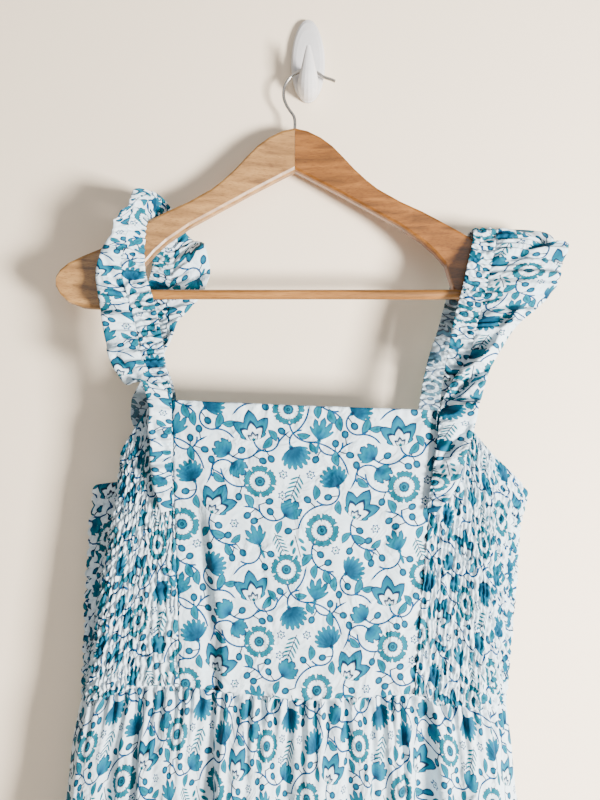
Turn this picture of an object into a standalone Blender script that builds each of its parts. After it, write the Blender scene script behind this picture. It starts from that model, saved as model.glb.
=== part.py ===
"""A ruffle-strap sundress on a wooden hanger, hung from a stick-on wall hook.

Metres, +Z up. The origin is the middle of the flat back of the wall hook, so the wall is
the plane y = 0 and everything hangs on its -Y side. In every table "out" is the distance
off the wall, so y = -out. Left and right are the viewer's, looking along +Y.

The dress is a gathered skirt (front and back), a flat front panel, a shirred side on each
hand of it, a shirred back, and two elastic straps that each carry one wide ruffle.
"""

import math

import bmesh
import bpy
import numpy as np

# Driving sizes
SEAM_GAP = 0.0003          # space left between two pieces at a seam
CLOTH = 0.0013             # single cotton, with the body its creases give it
SHIRRED = 0.0024           # elastic-gathered cotton stands thicker
BAND = 0.0022              # doubled cotton over elastic
BAND_HALF = 0.0105         # half the width of a strap's band
RUFFLE = 0.0012            # ruffle cloth with its rolled hem
HEM_Z = -1.245             # where the skirt ends
JOINT_X = -0.013           # the hanger's middle joint
ARM_THICK = 0.013          # thickness of the hanger's wood
BAR_Z = -0.2385
BAR_OUT = 0.0445
BAR_RADIUS = 0.0046
BAR_REACH = 0.158          # from the hanger's middle to each end of the bar, in its socket
ARM_INSIDE = 0.130         # where a socket's cutter starts, clear of the arm
WIRE_RADIUS = 0.0015
FIT = 0.0003               # clearance of a rod or a wire in its hole

# The bodice as a closed loop of named columns, from the left seam across the front and
# round the back. Each row gives x, then out, at one height; between rows it is straight.
LOOP = ("left_seam", "centre", "right_seam", "right_strap", "right_turn", "right_edge",
        "right_rear", "rear", "left_rear", "left_edge", "left_tuck", "left_fold",
        "left_strap")
BODICE_X = (
    # z, then x at each column of LOOP
    (-0.336, -0.1220, -0.004, 0.1150, 0.1400, 0.1560, 0.1850, 0.160,
     -0.004, -0.162, -0.1880, -0.1610, -0.1600, -0.1415),
    (-0.425, -0.1200, -0.005, 0.1080, 0.1400, 0.1690, 0.2025, 0.176,
     -0.004, -0.176, -0.2015, -0.1745, -0.1725, -0.1440),
    (-0.450, -0.1190, -0.006, 0.1055, 0.1370, 0.1680, 0.1955, 0.172,
     -0.005, -0.178, -0.2045, -0.1800, -0.1775, -0.1460),
    (-0.520, -0.1170, -0.007, 0.0995, 0.1310, 0.1650, 0.1900, 0.168,
     -0.007, -0.180, -0.2085, -0.1910, -0.1880, -0.1500),
    (-0.612, -0.1149, -0.010, 0.0926, 0.1240, 0.1590, 0.1815, 0.158,
     -0.010, -0.180, -0.2090, -0.2050, -0.2000, -0.1550),
)
BODICE_OUT = (
    # z, then the distance off the wall at each column of LOOP
    (-0.336, 0.066, 0.067, 0.066, 0.0645, 0.062, 0.042, 0.025,
     0.020, 0.025, 0.036, 0.046, 0.057, 0.0640),
    (-0.425, 0.066, 0.067, 0.066, 0.0640, 0.060, 0.036, 0.022,
     0.018, 0.022, 0.032, 0.045, 0.056, 0.0635),
    (-0.450, 0.066, 0.068, 0.066, 0.0635, 0.060, 0.036, 0.022,
     0.018, 0.022, 0.032, 0.045, 0.056, 0.0635),
    (-0.520, 0.066, 0.068, 0.066, 0.0635, 0.060, 0.037, 0.022,
     0.018, 0.022, 0.034, 0.046, 0.056, 0.0635),
    (-0.612, 0.066, 0.068, 0.066, 0.0640, 0.060, 0.038, 0.023,
     0.018, 0.023, 0.040, 0.048, 0.056, 0.0635),
)
TOP_Z = (-0.336, -0.3410, -0.345, -0.354, -0.382, -0.4270, -0.424, -0.424, -0.421,
         -0.4164, -0.411, -0.380, -0.337)
WAIST_Z = (-0.5905, -0.6025, -0.5975, -0.607, -0.614, -0.6160, -0.612, -0.610, -0.612,
           -0.6145, -0.6105, -0.609, -0.5912)
SPAN_STEPS = (6, 6, 3, 4, 4, 2, 6, 6, 2, 2, 2, 3, 3)   # sections between one column and the next
BODICE_ROWS = 9
PANELS = (
    # name, first column, last column, thickness, how far it draws back from a seam's middle
    ("front_panel", 0, 2, CLOTH, 0.0),
    ("shirred_side_right", 2, 5, SHIRRED, 0.0004),
    ("shirred_back", 5, 9, SHIRRED, 0.0005),
    ("shirred_side_left", 9, 13, SHIRRED, 0.0005),
)

# The skirt takes its top from the waist loop and widens as it falls.
SKIRT = (
    # z,     left x,  right x, front out added, back out added
    (-0.606, -0.2090, 0.1815, 0.000, 0.000),
    (-0.650, -0.2185, 0.1880, 0.006, 0.000),
    (-0.700, -0.2240, 0.1925, 0.007, 0.001),
    (-0.850, -0.2600, 0.2240, 0.010, 0.001),
    (-1.050, -0.2960, 0.2600, 0.014, 0.002),
    (-1.245, -0.3210, 0.2870, 0.018, 0.002),
)
FRONT_FOLDS = (
    # place across (0 left, 1 right), drift to the hem, half width, depth (+ is a ridge),
    # start (0 waist, 1 hem)
    (0.045, 0.000, 0.030, 0.006, 0.00),
    (0.110, -0.010, 0.022, -0.010, 0.02),
    (0.175, -0.012, 0.030, 0.007, 0.05),
    (0.300, -0.015, 0.026, -0.011, 0.00),
    (0.370, -0.010, 0.032, 0.008, 0.06),
    (0.480, 0.000, 0.040, -0.006, 0.10),
    (0.560, 0.004, 0.026, 0.008, 0.02),
    (0.620, 0.008, 0.020, -0.011, 0.00),
    (0.655, 0.010, 0.018, 0.007, 0.02),
    (0.695, 0.010, 0.018, -0.009, 0.03),
    (0.745, 0.012, 0.024, 0.009, 0.02),
    (0.800, 0.014, 0.018, -0.010, 0.00),
    (0.855, 0.014, 0.020, -0.008, 0.02),
    (0.930, 0.010, 0.034, 0.008, 0.04),
)
BACK_FOLDS = (
    (0.100, 0.000, 0.034, 0.005, 0.02),
    (0.210, 0.010, 0.026, -0.006, 0.00),
    (0.330, 0.006, 0.034, 0.005, 0.06),
    (0.450, 0.000, 0.028, -0.005, 0.00),
    (0.560, -0.004, 0.030, 0.006, 0.03),
    (0.680, -0.010, 0.026, -0.006, 0.00),
    (0.790, -0.012, 0.034, 0.005, 0.05),
    (0.910, 0.000, 0.030, -0.005, 0.02),
)
SIDE_SEAM_LAP = 0.0010     # each half stands this far off the side seam's middle
SKIRT_ROWS = 9
SKIRT_FRONT_STEPS = 46
SKIRT_BACK_STEPS = 34

# Each strap with its ruffle, from below the neckline, up the front, over the hanger's arm
# and down behind to the top of the back. The first three rows carry the ruffle alone,
# down the seam of the front panel. Columns: the band's middle x, out, z; how far the band
# is turned about its own length, in degrees; where across the band the ruffle is sewn (-1
# inner edge, +1 outer edge) and how far it stands off; and the step from there to the
# ruffle's free edge, in x, out and z.
STRAP_START = 3
STRAP_LEFT = (
    # x,      out,    z,       turn, sewn,  off,    to edge x, out,   z
    (-0.1310, 0.0670, -0.4330, 0.0, -1.00, 0.0040, -0.0100, 0.0030, -0.0020),
    (-0.1315, 0.0670, -0.4050, 0.0, -1.00, 0.0050, -0.0160, 0.0060, 0.0000),
    (-0.1318, 0.0670, -0.3700, 0.0, -1.00, 0.0055, -0.0175, 0.0080, 0.0000),
    (-0.1320, 0.0665, -0.3350, 0.0, -1.00, 0.0055, -0.0190, 0.0080, 0.0040),
    (-0.1375, 0.0655, -0.3080, 0.0, 0.50, 0.0045, -0.0260, 0.0040, -0.0040),
    (-0.1430, 0.0625, -0.2770, 0.0, 1.13, 0.0020, -0.0275, 0.0060, -0.0010),
    (-0.1510, 0.0590, -0.2465, 5.0, 1.13, 0.0000, -0.0260, 0.0060, 0.0010),
    (-0.1590, 0.0555, -0.2195, 20.0, 1.13, 0.0000, -0.0205, 0.0080, 0.0010),
    (-0.1580, 0.0535, -0.1930, 50.0, 1.13, 0.0000, -0.0130, 0.0070, -0.0010),
    (-0.1540, 0.0490, -0.1640, 66.0, 1.13, 0.0000, -0.0070, 0.0120, -0.0110),
    (-0.1470, 0.0340, -0.1540, 80.0, 1.13, 0.0000, -0.0040, 0.0180, -0.0010),
    (-0.1420, 0.0190, -0.1575, 120.0, 1.13, 0.0000, 0.0030, -0.0020, 0.0040),
    (-0.1400, 0.0175, -0.1850, 165.0, 1.13, 0.0000, 0.0120, -0.0020, 0.0100),
    (-0.1404, 0.0205, -0.2090, 180.0, 1.13, 0.0000, 0.0310, -0.0030, 0.0220),
    (-0.1450, 0.0260, -0.2370, 180.0, 1.13, 0.0000, 0.0370, -0.0010, 0.0080),
    (-0.1440, 0.0260, -0.2640, 195.0, 1.13, 0.0000, 0.0110, 0.0020, 0.0050),
    (-0.1420, 0.0250, -0.2920, 250.0, 1.13, 0.0000, 0.0030, 0.0050, 0.0020),
    (-0.1390, 0.0240, -0.3220, 320.0, 1.13, 0.0000, -0.0120, 0.0010, 0.0040),
    (-0.1360, 0.0220, -0.3500, 355.0, 1.13, 0.0000, -0.0240, 0.0020, 0.0020),
    (-0.1340, 0.0210, -0.3850, 360.0, 1.13, 0.0000, -0.0120, 0.0020, 0.0020),
    (-0.1320, 0.0203, -0.4190, 360.0, 1.13, 0.0000, -0.0050, 0.0020, 0.0020),
)
STRAP_RIGHT = (
    (0.1145, 0.0670, -0.4360, 0.0, -1.00, 0.0040, 0.0080, 0.0030, 0.0000),
    (0.1175, 0.0670, -0.4140, 0.0, -1.00, 0.0050, 0.0210, 0.0060, 0.0000),
    (0.1220, 0.0670, -0.3850, 0.0, -1.00, 0.0055, 0.0250, 0.0080, 0.0000),
    (0.1265, 0.0665, -0.3440, 0.0, -1.00, 0.0055, 0.0310, 0.0080, 0.0000),
    (0.1300, 0.0655, -0.3180, 0.0, -0.20, 0.0045, 0.0280, 0.0050, 0.0000),
    (0.1345, 0.0640, -0.2950, 0.0, 0.80, 0.0035, 0.0230, 0.0040, 0.0000),
    (0.1400, 0.0620, -0.2680, 0.0, 1.13, 0.0000, 0.0350, 0.0020, 0.0000),
    (0.1480, 0.0590, -0.2400, 0.0, 1.13, 0.0000, 0.0580, 0.0030, 0.0000),
    (0.1545, 0.0550, -0.2150, 0.0, 1.13, 0.0000, 0.0620, 0.0060, -0.0010),
    (0.1600, 0.0500, -0.1950, 0.0, 1.13, 0.0000, 0.0640, 0.0070, -0.0030),
    (0.1625, 0.0460, -0.1825, 0.0, 1.13, 0.0000, 0.0640, 0.0020, -0.0110),
    (0.1625, 0.0378, -0.1775, 5.0, 1.13, 0.0000, 0.0580, 0.0000, -0.0100),
    (0.1600, 0.0285, -0.1835, 5.0, 1.13, 0.0000, 0.0480, -0.0040, -0.0040),
    (0.1540, 0.0270, -0.2060, 0.0, 1.13, 0.0000, 0.0380, -0.0050, 0.0020),
    (0.1430, 0.0272, -0.2370, 0.0, 1.13, 0.0000, 0.0280, -0.0060, 0.0040),
    (0.1330, 0.0270, -0.2730, 0.0, 1.13, 0.0000, 0.0200, -0.0050, 0.0040),
    (0.1245, 0.0250, -0.3000, 0.0, 1.13, 0.0000, 0.0220, -0.0050, 0.0020),
    (0.1180, 0.0235, -0.3330, 0.0, 1.13, 0.0000, 0.0160, -0.0040, 0.0020),
    (0.1110, 0.0220, -0.3800, 0.0, 1.13, 0.0000, 0.0080, -0.0020, 0.0020),
    (0.1070, 0.0210, -0.4215, 0.0, 1.13, 0.0000, 0.0040, 0.0000, 0.0020),
)
STRAP_STEPS = 2            # sections between one row and the next
RUFFLE_ACROSS = 4          # strips across a ruffle

# The hanger's arm, outwards from its middle joint. The right arm mirrors the left one.
ARM = (
    # out along, top z,  bottom z
    (0.0000, -0.0733, -0.1150),
    (0.0120, -0.0765, -0.1215),
    (0.0245, -0.0832, -0.1285),
    (0.0355, -0.0918, -0.1347),
    (0.0465, -0.1036, -0.1410),
    (0.0570, -0.1154, -0.1474),
    (0.0680, -0.1262, -0.1538),
    (0.0785, -0.1350, -0.1601),
    (0.0995, -0.1480, -0.1727),
    (0.1200, -0.1585, -0.1880),
    (0.1310, -0.1650, -0.1985),
    (0.1410, -0.1710, -0.2105),
    (0.1475, -0.1750, -0.2325),
    (0.1540, -0.1790, -0.2440),
    (0.1640, -0.1855, -0.2505),
    (0.1800, -0.1960, -0.2520),
    (0.1950, -0.2030, -0.2512),
    (0.2070, -0.2095, -0.2465),
    (0.2140, -0.2160, -0.2400),
    (0.2175, -0.2220, -0.2330),
)
ARM_OUT = 0.0155           # the arm's middle off the wall at the joint
ARM_REACH = 0.031          # how much farther off the wall its end is
ARM_EDGE = 0.0035          # rounding of the arm's long edges
WIRE_HOLE_DEPTH = 0.024

# The hook wire, from its free end over the wall hook's prong to the wood
WIRE_CENTRE = (-0.0012, -0.0385)     # x, z of its bend
WIRE_BEND = 0.0228                   # radius of its bend
WIRE_OUT = 0.0150
WIRE_TIP = ((0.0262, -0.0262), (0.0225, -0.0245))
WIRE_NECK = ((-0.0180, -0.0545), (-0.0140, -0.0600), (-0.0130, -0.0650), (-0.0130, -0.0720))

# The wall hook
HOOK_HALF_WIDTH = 0.0168
HOOK_HALF_HEIGHT = 0.0410
PAD_THICK = 0.0016
SHELL_BACK = PAD_THICK + SEAM_GAP
SHELL_RISE = 0.0062        # crown of the moulding over its back face
PRONG = (
    # out,   z,       half width, half depth
    (0.0040, -0.0287, 0.0105, 0.0118),
    (0.0115, -0.0287, 0.0105, 0.0123),
    (0.0180, -0.0276, 0.0100, 0.0106),
    (0.0235, -0.0232, 0.0085, 0.0072),
    (0.0265, -0.0160, 0.0062, 0.0042),
    (0.0285, -0.0080, 0.0042, 0.0026),
    (0.0300, 0.0000, 0.0018, 0.0014),
)


def material(name, colour, roughness, metallic=0.0):
    """A Principled material with one colour, roughness and metal value."""
    made = bpy.data.materials.new(name)
    made.use_nodes = True
    shader = made.node_tree.nodes["Principled BSDF"]
    shader.inputs["Base Color"].default_value = (*colour, 1.0)
    shader.inputs["Roughness"].default_value = roughness
    shader.inputs["Metallic"].default_value = metallic
    return made


def add_mesh(name, points, faces, finish, smooth_angle=40):
    """One object from its points and faces, facing outwards and shaded smooth."""
    mesh = bpy.data.meshes.new(name)
    mesh.from_pydata([tuple(p) for p in points], [], [tuple(f) for f in faces])
    work = bmesh.new()
    work.from_mesh(mesh)
    bmesh.ops.recalc_face_normals(work, faces=work.faces)
    work.to_mesh(mesh)
    work.free()
    mesh.shade_smooth()
    mesh.set_sharp_from_angle(angle=math.radians(smooth_angle))
    mesh.materials.append(finish)
    made = bpy.data.objects.new(name, mesh)
    bpy.context.collection.objects.link(made)
    return made


def unit(vectors):
    return vectors / np.linalg.norm(vectors, axis=-1, keepdims=True)


def curve_through(points, steps, closed=False):
    """A smooth curve through points: cubic spans whose slopes weigh each neighbour by its
    distance. steps gives the number of sections in each span."""
    points = np.asarray(points, float)
    count = len(points)
    after = np.roll(points, -1, axis=0)
    before = np.roll(points, 1, axis=0)
    if not closed:
        after[-1] = 2 * points[-1] - points[-2]
        before[0] = 2 * points[0] - points[1]
    ahead = np.linalg.norm(after - points, axis=1, keepdims=True)
    behind = np.linalg.norm(points - before, axis=1, keepdims=True)
    slope = (points - before) / behind * ahead + (after - points) / ahead * behind
    slope /= ahead + behind
    spans = count if closed else count - 1
    sampled = []
    for i in range(spans):
        j = (i + 1) % count
        t = (np.arange(steps[i]) / steps[i])[:, None]
        length = ahead[i]
        sampled.append(points[i] * (2 * t**3 - 3 * t**2 + 1) + points[j] * (3 * t**2 - 2 * t**3)
                       + slope[i] * length * (t**3 - 2 * t**2 + t) + slope[j] * length * (t**3 - t**2))
    if not closed:
        sampled.append(points[-1:])
    return np.vstack(sampled)


def rows_smoothed(rows, steps):
    """A table's rows with steps sections between each two, every column read by the same
    smooth rule in the row number."""
    rows = np.asarray(rows, float)
    slope = np.gradient(rows, axis=0)
    sampled = []
    for i in range(len(rows) - 1):
        t = (np.arange(steps) / steps)[:, None]
        sampled.append(rows[i] * (2 * t**3 - 3 * t**2 + 1) + slope[i] * (t**3 - 2 * t**2 + t)
                       + rows[i + 1] * (3 * t**2 - 2 * t**3) + slope[i + 1] * (t**3 - t**2))
    return np.vstack(sampled + [rows[-1:]])


def grid_normals(grid, closed=False):
    """Unit normals of a grid of points, indexed along, then across."""
    if closed:
        along = np.roll(grid, -1, axis=0) - np.roll(grid, 1, axis=0)
    else:
        along = np.gradient(grid, axis=0)
    return unit(np.cross(along, np.gradient(grid, axis=1)))


def add_wall(name, middle, normals, thickness, finish):
    """A closed wall of cloth, half its thickness on each side of a grid of points."""
    across, down = middle.shape[:2]
    points = np.concatenate([(middle + normals * thickness / 2).reshape(-1, 3),
                             (middle - normals * thickness / 2).reshape(-1, 3)])
    index = np.arange(across * down).reshape(across, down)
    a, b = index[:-1, :-1].ravel(), index[1:, :-1].ravel()
    c, d = index[1:, 1:].ravel(), index[:-1, 1:].ravel()
    front = np.concatenate([np.stack([a, b, c], 1), np.stack([a, c, d], 1)])
    back = front[:, ::-1] + across * down
    rim = np.concatenate([index[:-1, 0], index[-1, :-1], index[:0:-1, -1], index[0, :0:-1]])
    ahead = np.roll(rim, -1)
    far = across * down
    edge = np.concatenate([np.stack([rim, rim + far, ahead], 1),
                           np.stack([ahead, rim + far, ahead + far], 1)])
    return add_mesh(name, points, np.concatenate([front, back, edge]), finish)


def loop_at(z_rows, z):
    """A table's columns read at each height z, straight between its rows."""
    table = np.asarray(z_rows)
    heights = -table[:, 0]
    return np.stack([np.interp(-z, heights, table[:, 1 + i]) for i in range(len(LOOP))], axis=-1)


def loop_edge(values):
    """A column table read all round the loop, straight between columns."""
    values = np.asarray(values)
    after = np.roll(values, -1)
    return np.concatenate([values[i] + (after[i] - values[i]) * np.arange(steps) / steps
                           for i, steps in enumerate(SPAN_STEPS)])


def loop_points(z):
    """The bodice's loop at height z, as x and out at every section."""
    controls = np.stack([loop_at(BODICE_X, z), loop_at(BODICE_OUT, z)], axis=-1)
    return curve_through(controls, SPAN_STEPS, closed=True)


def bodice_surface(rows):
    """The bodice's middle surface all round: section by section, from top edge to waist."""
    top, waist = loop_edge(TOP_Z), loop_edge(WAIST_Z)
    heights = np.linspace(-0.33, -0.62, 59)
    stack = np.stack([loop_points(z) for z in heights], axis=1)
    down = np.linspace(0, 1, rows + 1)
    z = top[:, None] + (waist - top)[:, None] * down
    x = np.stack([np.interp(-z[i], -heights, stack[i, :, 0]) for i in range(len(top))])
    out = np.stack([np.interp(-z[i], -heights, stack[i, :, 1]) for i in range(len(top))])
    return np.stack([x, -out, z], axis=-1)


def pulled_in(grid, gap, sides=True, first=False, last=False):
    """The grid with its side edges, its first row or its last row drawn in by gap."""
    grid = grid.copy()
    if sides:
        grid[0] += unit(grid[1] - grid[0]) * gap
        grid[-1] += unit(grid[-2] - grid[-1]) * gap
    if first:
        grid[:, 0] += unit(grid[:, 1] - grid[:, 0]) * gap
    if last:
        grid[:, -1] += unit(grid[:, -2] - grid[:, -1]) * gap
    return grid


def column_start(column):
    return sum(SPAN_STEPS[:column])


def make_bodice(flat, shirred):
    """The flat front panel, the two shirred sides and the shirred back, seam to seam."""
    loop = bodice_surface(BODICE_ROWS)
    normals = grid_normals(loop, closed=True)
    for name, first, last, thickness, pull in PANELS:
        chosen = np.arange(column_start(first), column_start(last) + 1) % len(loop)
        middle = pulled_in(loop[chosen], pull)
        middle = pulled_in(middle, SEAM_GAP, sides=False, last=True)
        add_wall(name, middle, normals[chosen], thickness, flat if thickness == CLOTH else shirred)


def fold_height(place, fall, folds):
    """The sum of every fold at a place across and a fall from waist to hem, each a smooth
    ridge or trough that deepens from where it starts."""
    height = np.zeros(np.broadcast(place, fall).shape)
    for centre, drift, half, depth, start in folds:
        grown = np.clip((fall - start) / 0.16, 0, 1)
        shape = np.exp(-((place - centre - drift * fall) / half) ** 2)
        height += depth * grown * (0.75 + 0.25 * fall) * shape
    return height


def loop_run(first, last):
    """The loop's sections from one named column round to another."""
    start, end = (column_start(LOOP.index(name)) for name in (first, last))
    return np.arange(start - sum(SPAN_STEPS) * (start > end), end + 1)


def skirt_half(first, last, steps, folds, side):
    """The middle surface of one half of the skirt. side is 1 at the front, -1 behind."""
    edge = bodice_surface(1)[:, 1][loop_run(first, last)]
    length = np.concatenate([[0], np.cumsum(np.linalg.norm(np.diff(edge, axis=0), axis=1))])
    place = np.linspace(0, 1, steps + 1)
    edge = np.stack([np.interp(place * length[-1], length, edge[:, i]) for i in range(3)], axis=1)
    table = np.asarray(SKIRT)
    fall = np.linspace(0, 1, SKIRT_ROWS + 1) ** 1.25
    z = edge[:, 2:] + (HEM_Z - edge[:, 2:]) * fall
    left, right, front_add, back_add = (np.interp(-z, -table[:, 0], table[:, i]) for i in range(1, 5))
    across = (edge[:, :1] - SKIRT[0][1]) / (SKIRT[0][2] - SKIRT[0][1])
    x = left + (right - left) * across
    crown = np.sin(np.pi * place)[:, None].clip(0, 1) ** 0.5
    added = front_add if side > 0 else -back_add
    height = side * fold_height(across, fall[None, :], folds)
    out = -edge[:, 1:2] + (added + height) * crown
    out[[0, -1]] += side * SIDE_SEAM_LAP
    return np.stack([x, -out, z], axis=-1)


def make_skirt(finish):
    """The front and the back of the skirt, gathered into the waist seam."""
    front = skirt_half("left_edge", "right_edge", SKIRT_FRONT_STEPS, FRONT_FOLDS, 1)
    back = skirt_half("right_edge", "left_edge", SKIRT_BACK_STEPS, BACK_FOLDS, -1)
    for name, middle in (("skirt_front", front), ("skirt_back", back)):
        add_wall(name, pulled_in(middle, 1.5 * SEAM_GAP, first=True), grid_normals(middle), CLOTH, finish)


def strap_frames(table):
    """The band's middle, its direction across (towards the outer edge) and its face normal
    at every section, read smoothly from the table."""
    rows = rows_smoothed(table, STRAP_STEPS)
    centre = np.stack([rows[:, 0], -rows[:, 1], rows[:, 2]], axis=1)
    along = unit(np.gradient(centre, axis=0))
    outer = np.sign(rows[0, 0]) * np.array([1.0, 0.0, 0.0])
    across = unit(outer - along * (along @ outer)[:, None])
    upright = np.cross(along, across) * np.sign(rows[0, 0]) * -1
    turn = np.radians(rows[:, 3:4])
    width = np.cos(turn) * across + np.sin(turn) * upright
    face = np.cross(width, along) * np.sign(rows[0, 0])
    return rows, centre, width, face


def make_strap(name, table, finish):
    """The elastic band of one strap."""
    rows, centre, width, face = strap_frames(table)
    start = STRAP_START * STRAP_STEPS
    across = np.linspace(-1, 1, 3)[None, :, None] * BAND_HALF
    middle = centre[start:, None] + width[start:, None] * across
    normals = np.repeat(face[start:, None], 3, axis=1)
    add_wall(name, middle, normals, BAND, finish)


def make_ruffle(name, table, finish):
    """One ruffle: a strip from its sewn edge to its free edge, bellied between them."""
    rows, centre, width, face = strap_frames(table)
    sewn = centre + width * rows[:, 4:5] * BAND_HALF + face * rows[:, 5:6]
    step = np.stack([rows[:, 6], -rows[:, 7], rows[:, 8]], axis=1)
    t = np.linspace(0, 1, RUFFLE_ACROSS + 1)[None, :, None]
    belly = np.sin(np.pi * t) * 0.06 * np.linalg.norm(step, axis=1)[:, None, None]
    middle = sewn[:, None] + step[:, None] * t + face[:, None] * belly
    add_wall(name, middle, grid_normals(middle), RUFFLE, finish)


def arm_out(along):
    """How far off the wall the arm's middle is, bending gently forward to its end."""
    return ARM_OUT + ARM_REACH * (along / ARM[-1][0]) ** 1.15


def arm_section(height, thickness, edge):
    """A rectangle with its corners cut back on an arc, as (out, z) about its middle."""
    corner = min(edge, 0.3 * height)
    points = []
    for sign_out, sign_z, start in ((1, 1, 0), (-1, 1, 90), (-1, -1, 180), (1, -1, 270)):
        for angle in (start, start + 45, start + 90):
            points.append((sign_out * (thickness / 2 - corner) + corner * math.cos(math.radians(angle)),
                           sign_z * (height / 2 - corner) + corner * math.sin(math.radians(angle))))
    return points


def make_arm(name, side, finish):
    """One arm of the hanger, lofted through its sections. side is -1 left, 1 right."""
    points = []
    for along, top, bottom in ARM:
        x = JOINT_X + side * (along + SEAM_GAP / 2)
        for out, z in arm_section(top - bottom, ARM_THICK, ARM_EDGE):
            points.append((x, -(arm_out(along) + out), (top + bottom) / 2 + z))
    ring = 12
    faces = [tuple(range(ring)), tuple(range(len(points) - ring, len(points)))]
    for i in range(len(ARM) - 1):
        for j in range(ring):
            k = (j + 1) % ring
            a, b = i * ring + j, i * ring + k
            faces += [(a, b, a + ring), (b, b + ring, a + ring)]
    return add_mesh(name, points, faces, finish)


def tube(name, route, radius, finish, sides=10):
    """A round bar along a route of points, closed at both ends."""
    route = np.asarray(route, float)
    along = unit(np.gradient(route, axis=0))
    side = np.array([0.0, 1.0, 0.0]) if abs(along[0, 1]) < 0.5 else np.array([0.0, 0.0, 1.0])
    first = unit(np.cross(along, side))
    second = np.cross(along, first)
    angle = np.arange(sides) * 2 * np.pi / sides
    ring = (first[:, None] * np.cos(angle)[None, :, None]
            + second[:, None] * np.sin(angle)[None, :, None])
    points = (route[:, None] + ring * radius).reshape(-1, 3)
    faces = [tuple(range(sides)), tuple(range(len(points) - sides, len(points)))]
    for i in range(len(route) - 1):
        for j in range(sides):
            a, b = i * sides + j, i * sides + (j + 1) % sides
            faces.append((a, b, b + sides, a + sides))
    return add_mesh(name, points, faces, finish)


def cut(piece, cutter):
    """Takes the cutter's shape out of the piece."""
    cutter.hide_render = True
    cutter.display_type = "WIRE"
    modifier = piece.modifiers.new("cut_" + cutter.name, "BOOLEAN")
    modifier.operation = "DIFFERENCE"
    modifier.solver = "EXACT"
    modifier.object = cutter


def make_hanger(wood, steel):
    """Two glued arms, the trouser bar between their ends, and the swivel hook's wire."""
    arms = [make_arm("hanger_arm_left", -1, wood), make_arm("hanger_arm_right", 1, wood)]
    for arm, side in zip(arms, (-1, 1)):
        ends = [(JOINT_X + side * d, -BAR_OUT, BAR_Z) for d in (ARM_INSIDE, BAR_REACH + FIT)]
        cut(arm, tube(arm.name + "_bar_socket", ends, BAR_RADIUS + FIT, wood, sides=16))
    bar = [(JOINT_X + side * BAR_REACH, -BAR_OUT, BAR_Z) for side in (-1, 1)]
    tube("hanger_bar", bar, BAR_RADIUS, wood, sides=16)
    hole = [(JOINT_X, -WIRE_OUT, z) for z in (ARM[0][1] + 0.01, ARM[0][1] - WIRE_HOLE_DEPTH - FIT)]
    for arm in arms:
        cut(arm, tube(arm.name + "_wire_hole", hole, WIRE_RADIUS + FIT, steel, sides=12))
    angles = np.radians(np.linspace(48, 196, 15))
    bend = [(WIRE_CENTRE[0] + WIRE_BEND * math.cos(a), WIRE_CENTRE[1] + WIRE_BEND * math.sin(a))
            for a in angles]
    flat = [*WIRE_TIP, *bend, *WIRE_NECK, (JOINT_X, ARM[0][1] - WIRE_HOLE_DEPTH)]
    route = [(x, -WIRE_OUT, z) for x, z in flat]
    tube("hanger_hook", curve_through(route, [2] * (len(route) - 1)), WIRE_RADIUS, steel)


def oval(scale_x, scale_z, out, sides=40):
    """A ring of points on the hook's egg-shaped outline, a little fuller below its middle."""
    angle = np.arange(sides) * 2 * np.pi / sides
    fuller = 1 - 0.07 * np.sin(angle)
    x = scale_x * HOOK_HALF_WIDTH * np.cos(angle) * fuller
    z = scale_z * HOOK_HALF_HEIGHT * np.sin(angle)
    return np.stack([x, np.full(sides, -out), z], axis=1)


def stack_rings(name, rings, finish):
    """A solid through closed rings of equal count, capped at both ends."""
    sides = len(rings[0])
    points = np.concatenate(rings)
    faces = [tuple(range(sides)), tuple(range(len(points) - sides, len(points)))]
    for i in range(len(rings) - 1):
        for j in range(sides):
            a, b = i * sides + j, i * sides + (j + 1) % sides
            faces.append((a, b, b + sides, a + sides))
    return add_mesh(name, points, faces, finish)


def make_wall_hook(plastic):
    """The flat mounting pad, and the glossy moulding with its upturned prong."""
    stack_rings("wall_pad", [oval(0.96, 0.985, 0.0), oval(0.96, 0.985, PAD_THICK)], plastic)
    crown = [(1.0, 0.0), (1.0, 0.25), (0.965, 0.55), (0.88, 0.78), (0.70, 0.93), (0.40, 1.0)]
    rings = [oval(scale, scale, SHELL_BACK + SHELL_RISE * rise) for scale, rise in crown]
    shell = stack_rings("wall_hook", rings, plastic)
    rows = rows_smoothed(PRONG, 3)
    middle = np.stack([np.zeros(len(rows)), -rows[:, 0], rows[:, 1]], axis=1)
    along = unit(np.gradient(middle, axis=0))
    depth = np.cross(along, np.array([1.0, 0.0, 0.0]))
    angle = np.arange(16) * 2 * np.pi / 16
    prong_rings = [middle[i] + np.cos(angle)[:, None] * np.array([1.0, 0.0, 0.0]) * rows[i, 2]
                   + np.sin(angle)[:, None] * depth[i] * rows[i, 3] for i in range(len(rows))]
    prong = stack_rings("prong_form", prong_rings, plastic)
    prong.hide_render = True
    prong.display_type = "WIRE"
    join = shell.modifiers.new("prong", "BOOLEAN")
    join.operation = "UNION"
    join.solver = "EXACT"
    join.object = prong


def main():
    for old in list(bpy.data.objects):
        bpy.data.objects.remove(old)
    cotton = material("printed_cotton", (0.62, 0.79, 0.84), 0.8)
    shirred = material("shirred_cotton", (0.55, 0.75, 0.82), 0.85)
    wood = material("hanger_wood", (0.52, 0.31, 0.14), 0.45)
    steel = material("hook_wire_steel", (0.55, 0.55, 0.56), 0.3, 1.0)
    plastic = material("wall_hook_plastic", (0.86, 0.86, 0.86), 0.15)
    make_bodice(cotton, shirred)
    make_skirt(cotton)
    for side, table in (("left", STRAP_LEFT), ("right", STRAP_RIGHT)):
        make_strap("strap_" + side, table, shirred)
        make_ruffle("ruffle_" + side, table, cotton)
    make_hanger(wood, steel)
    make_wall_hook(plastic)


main()
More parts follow.
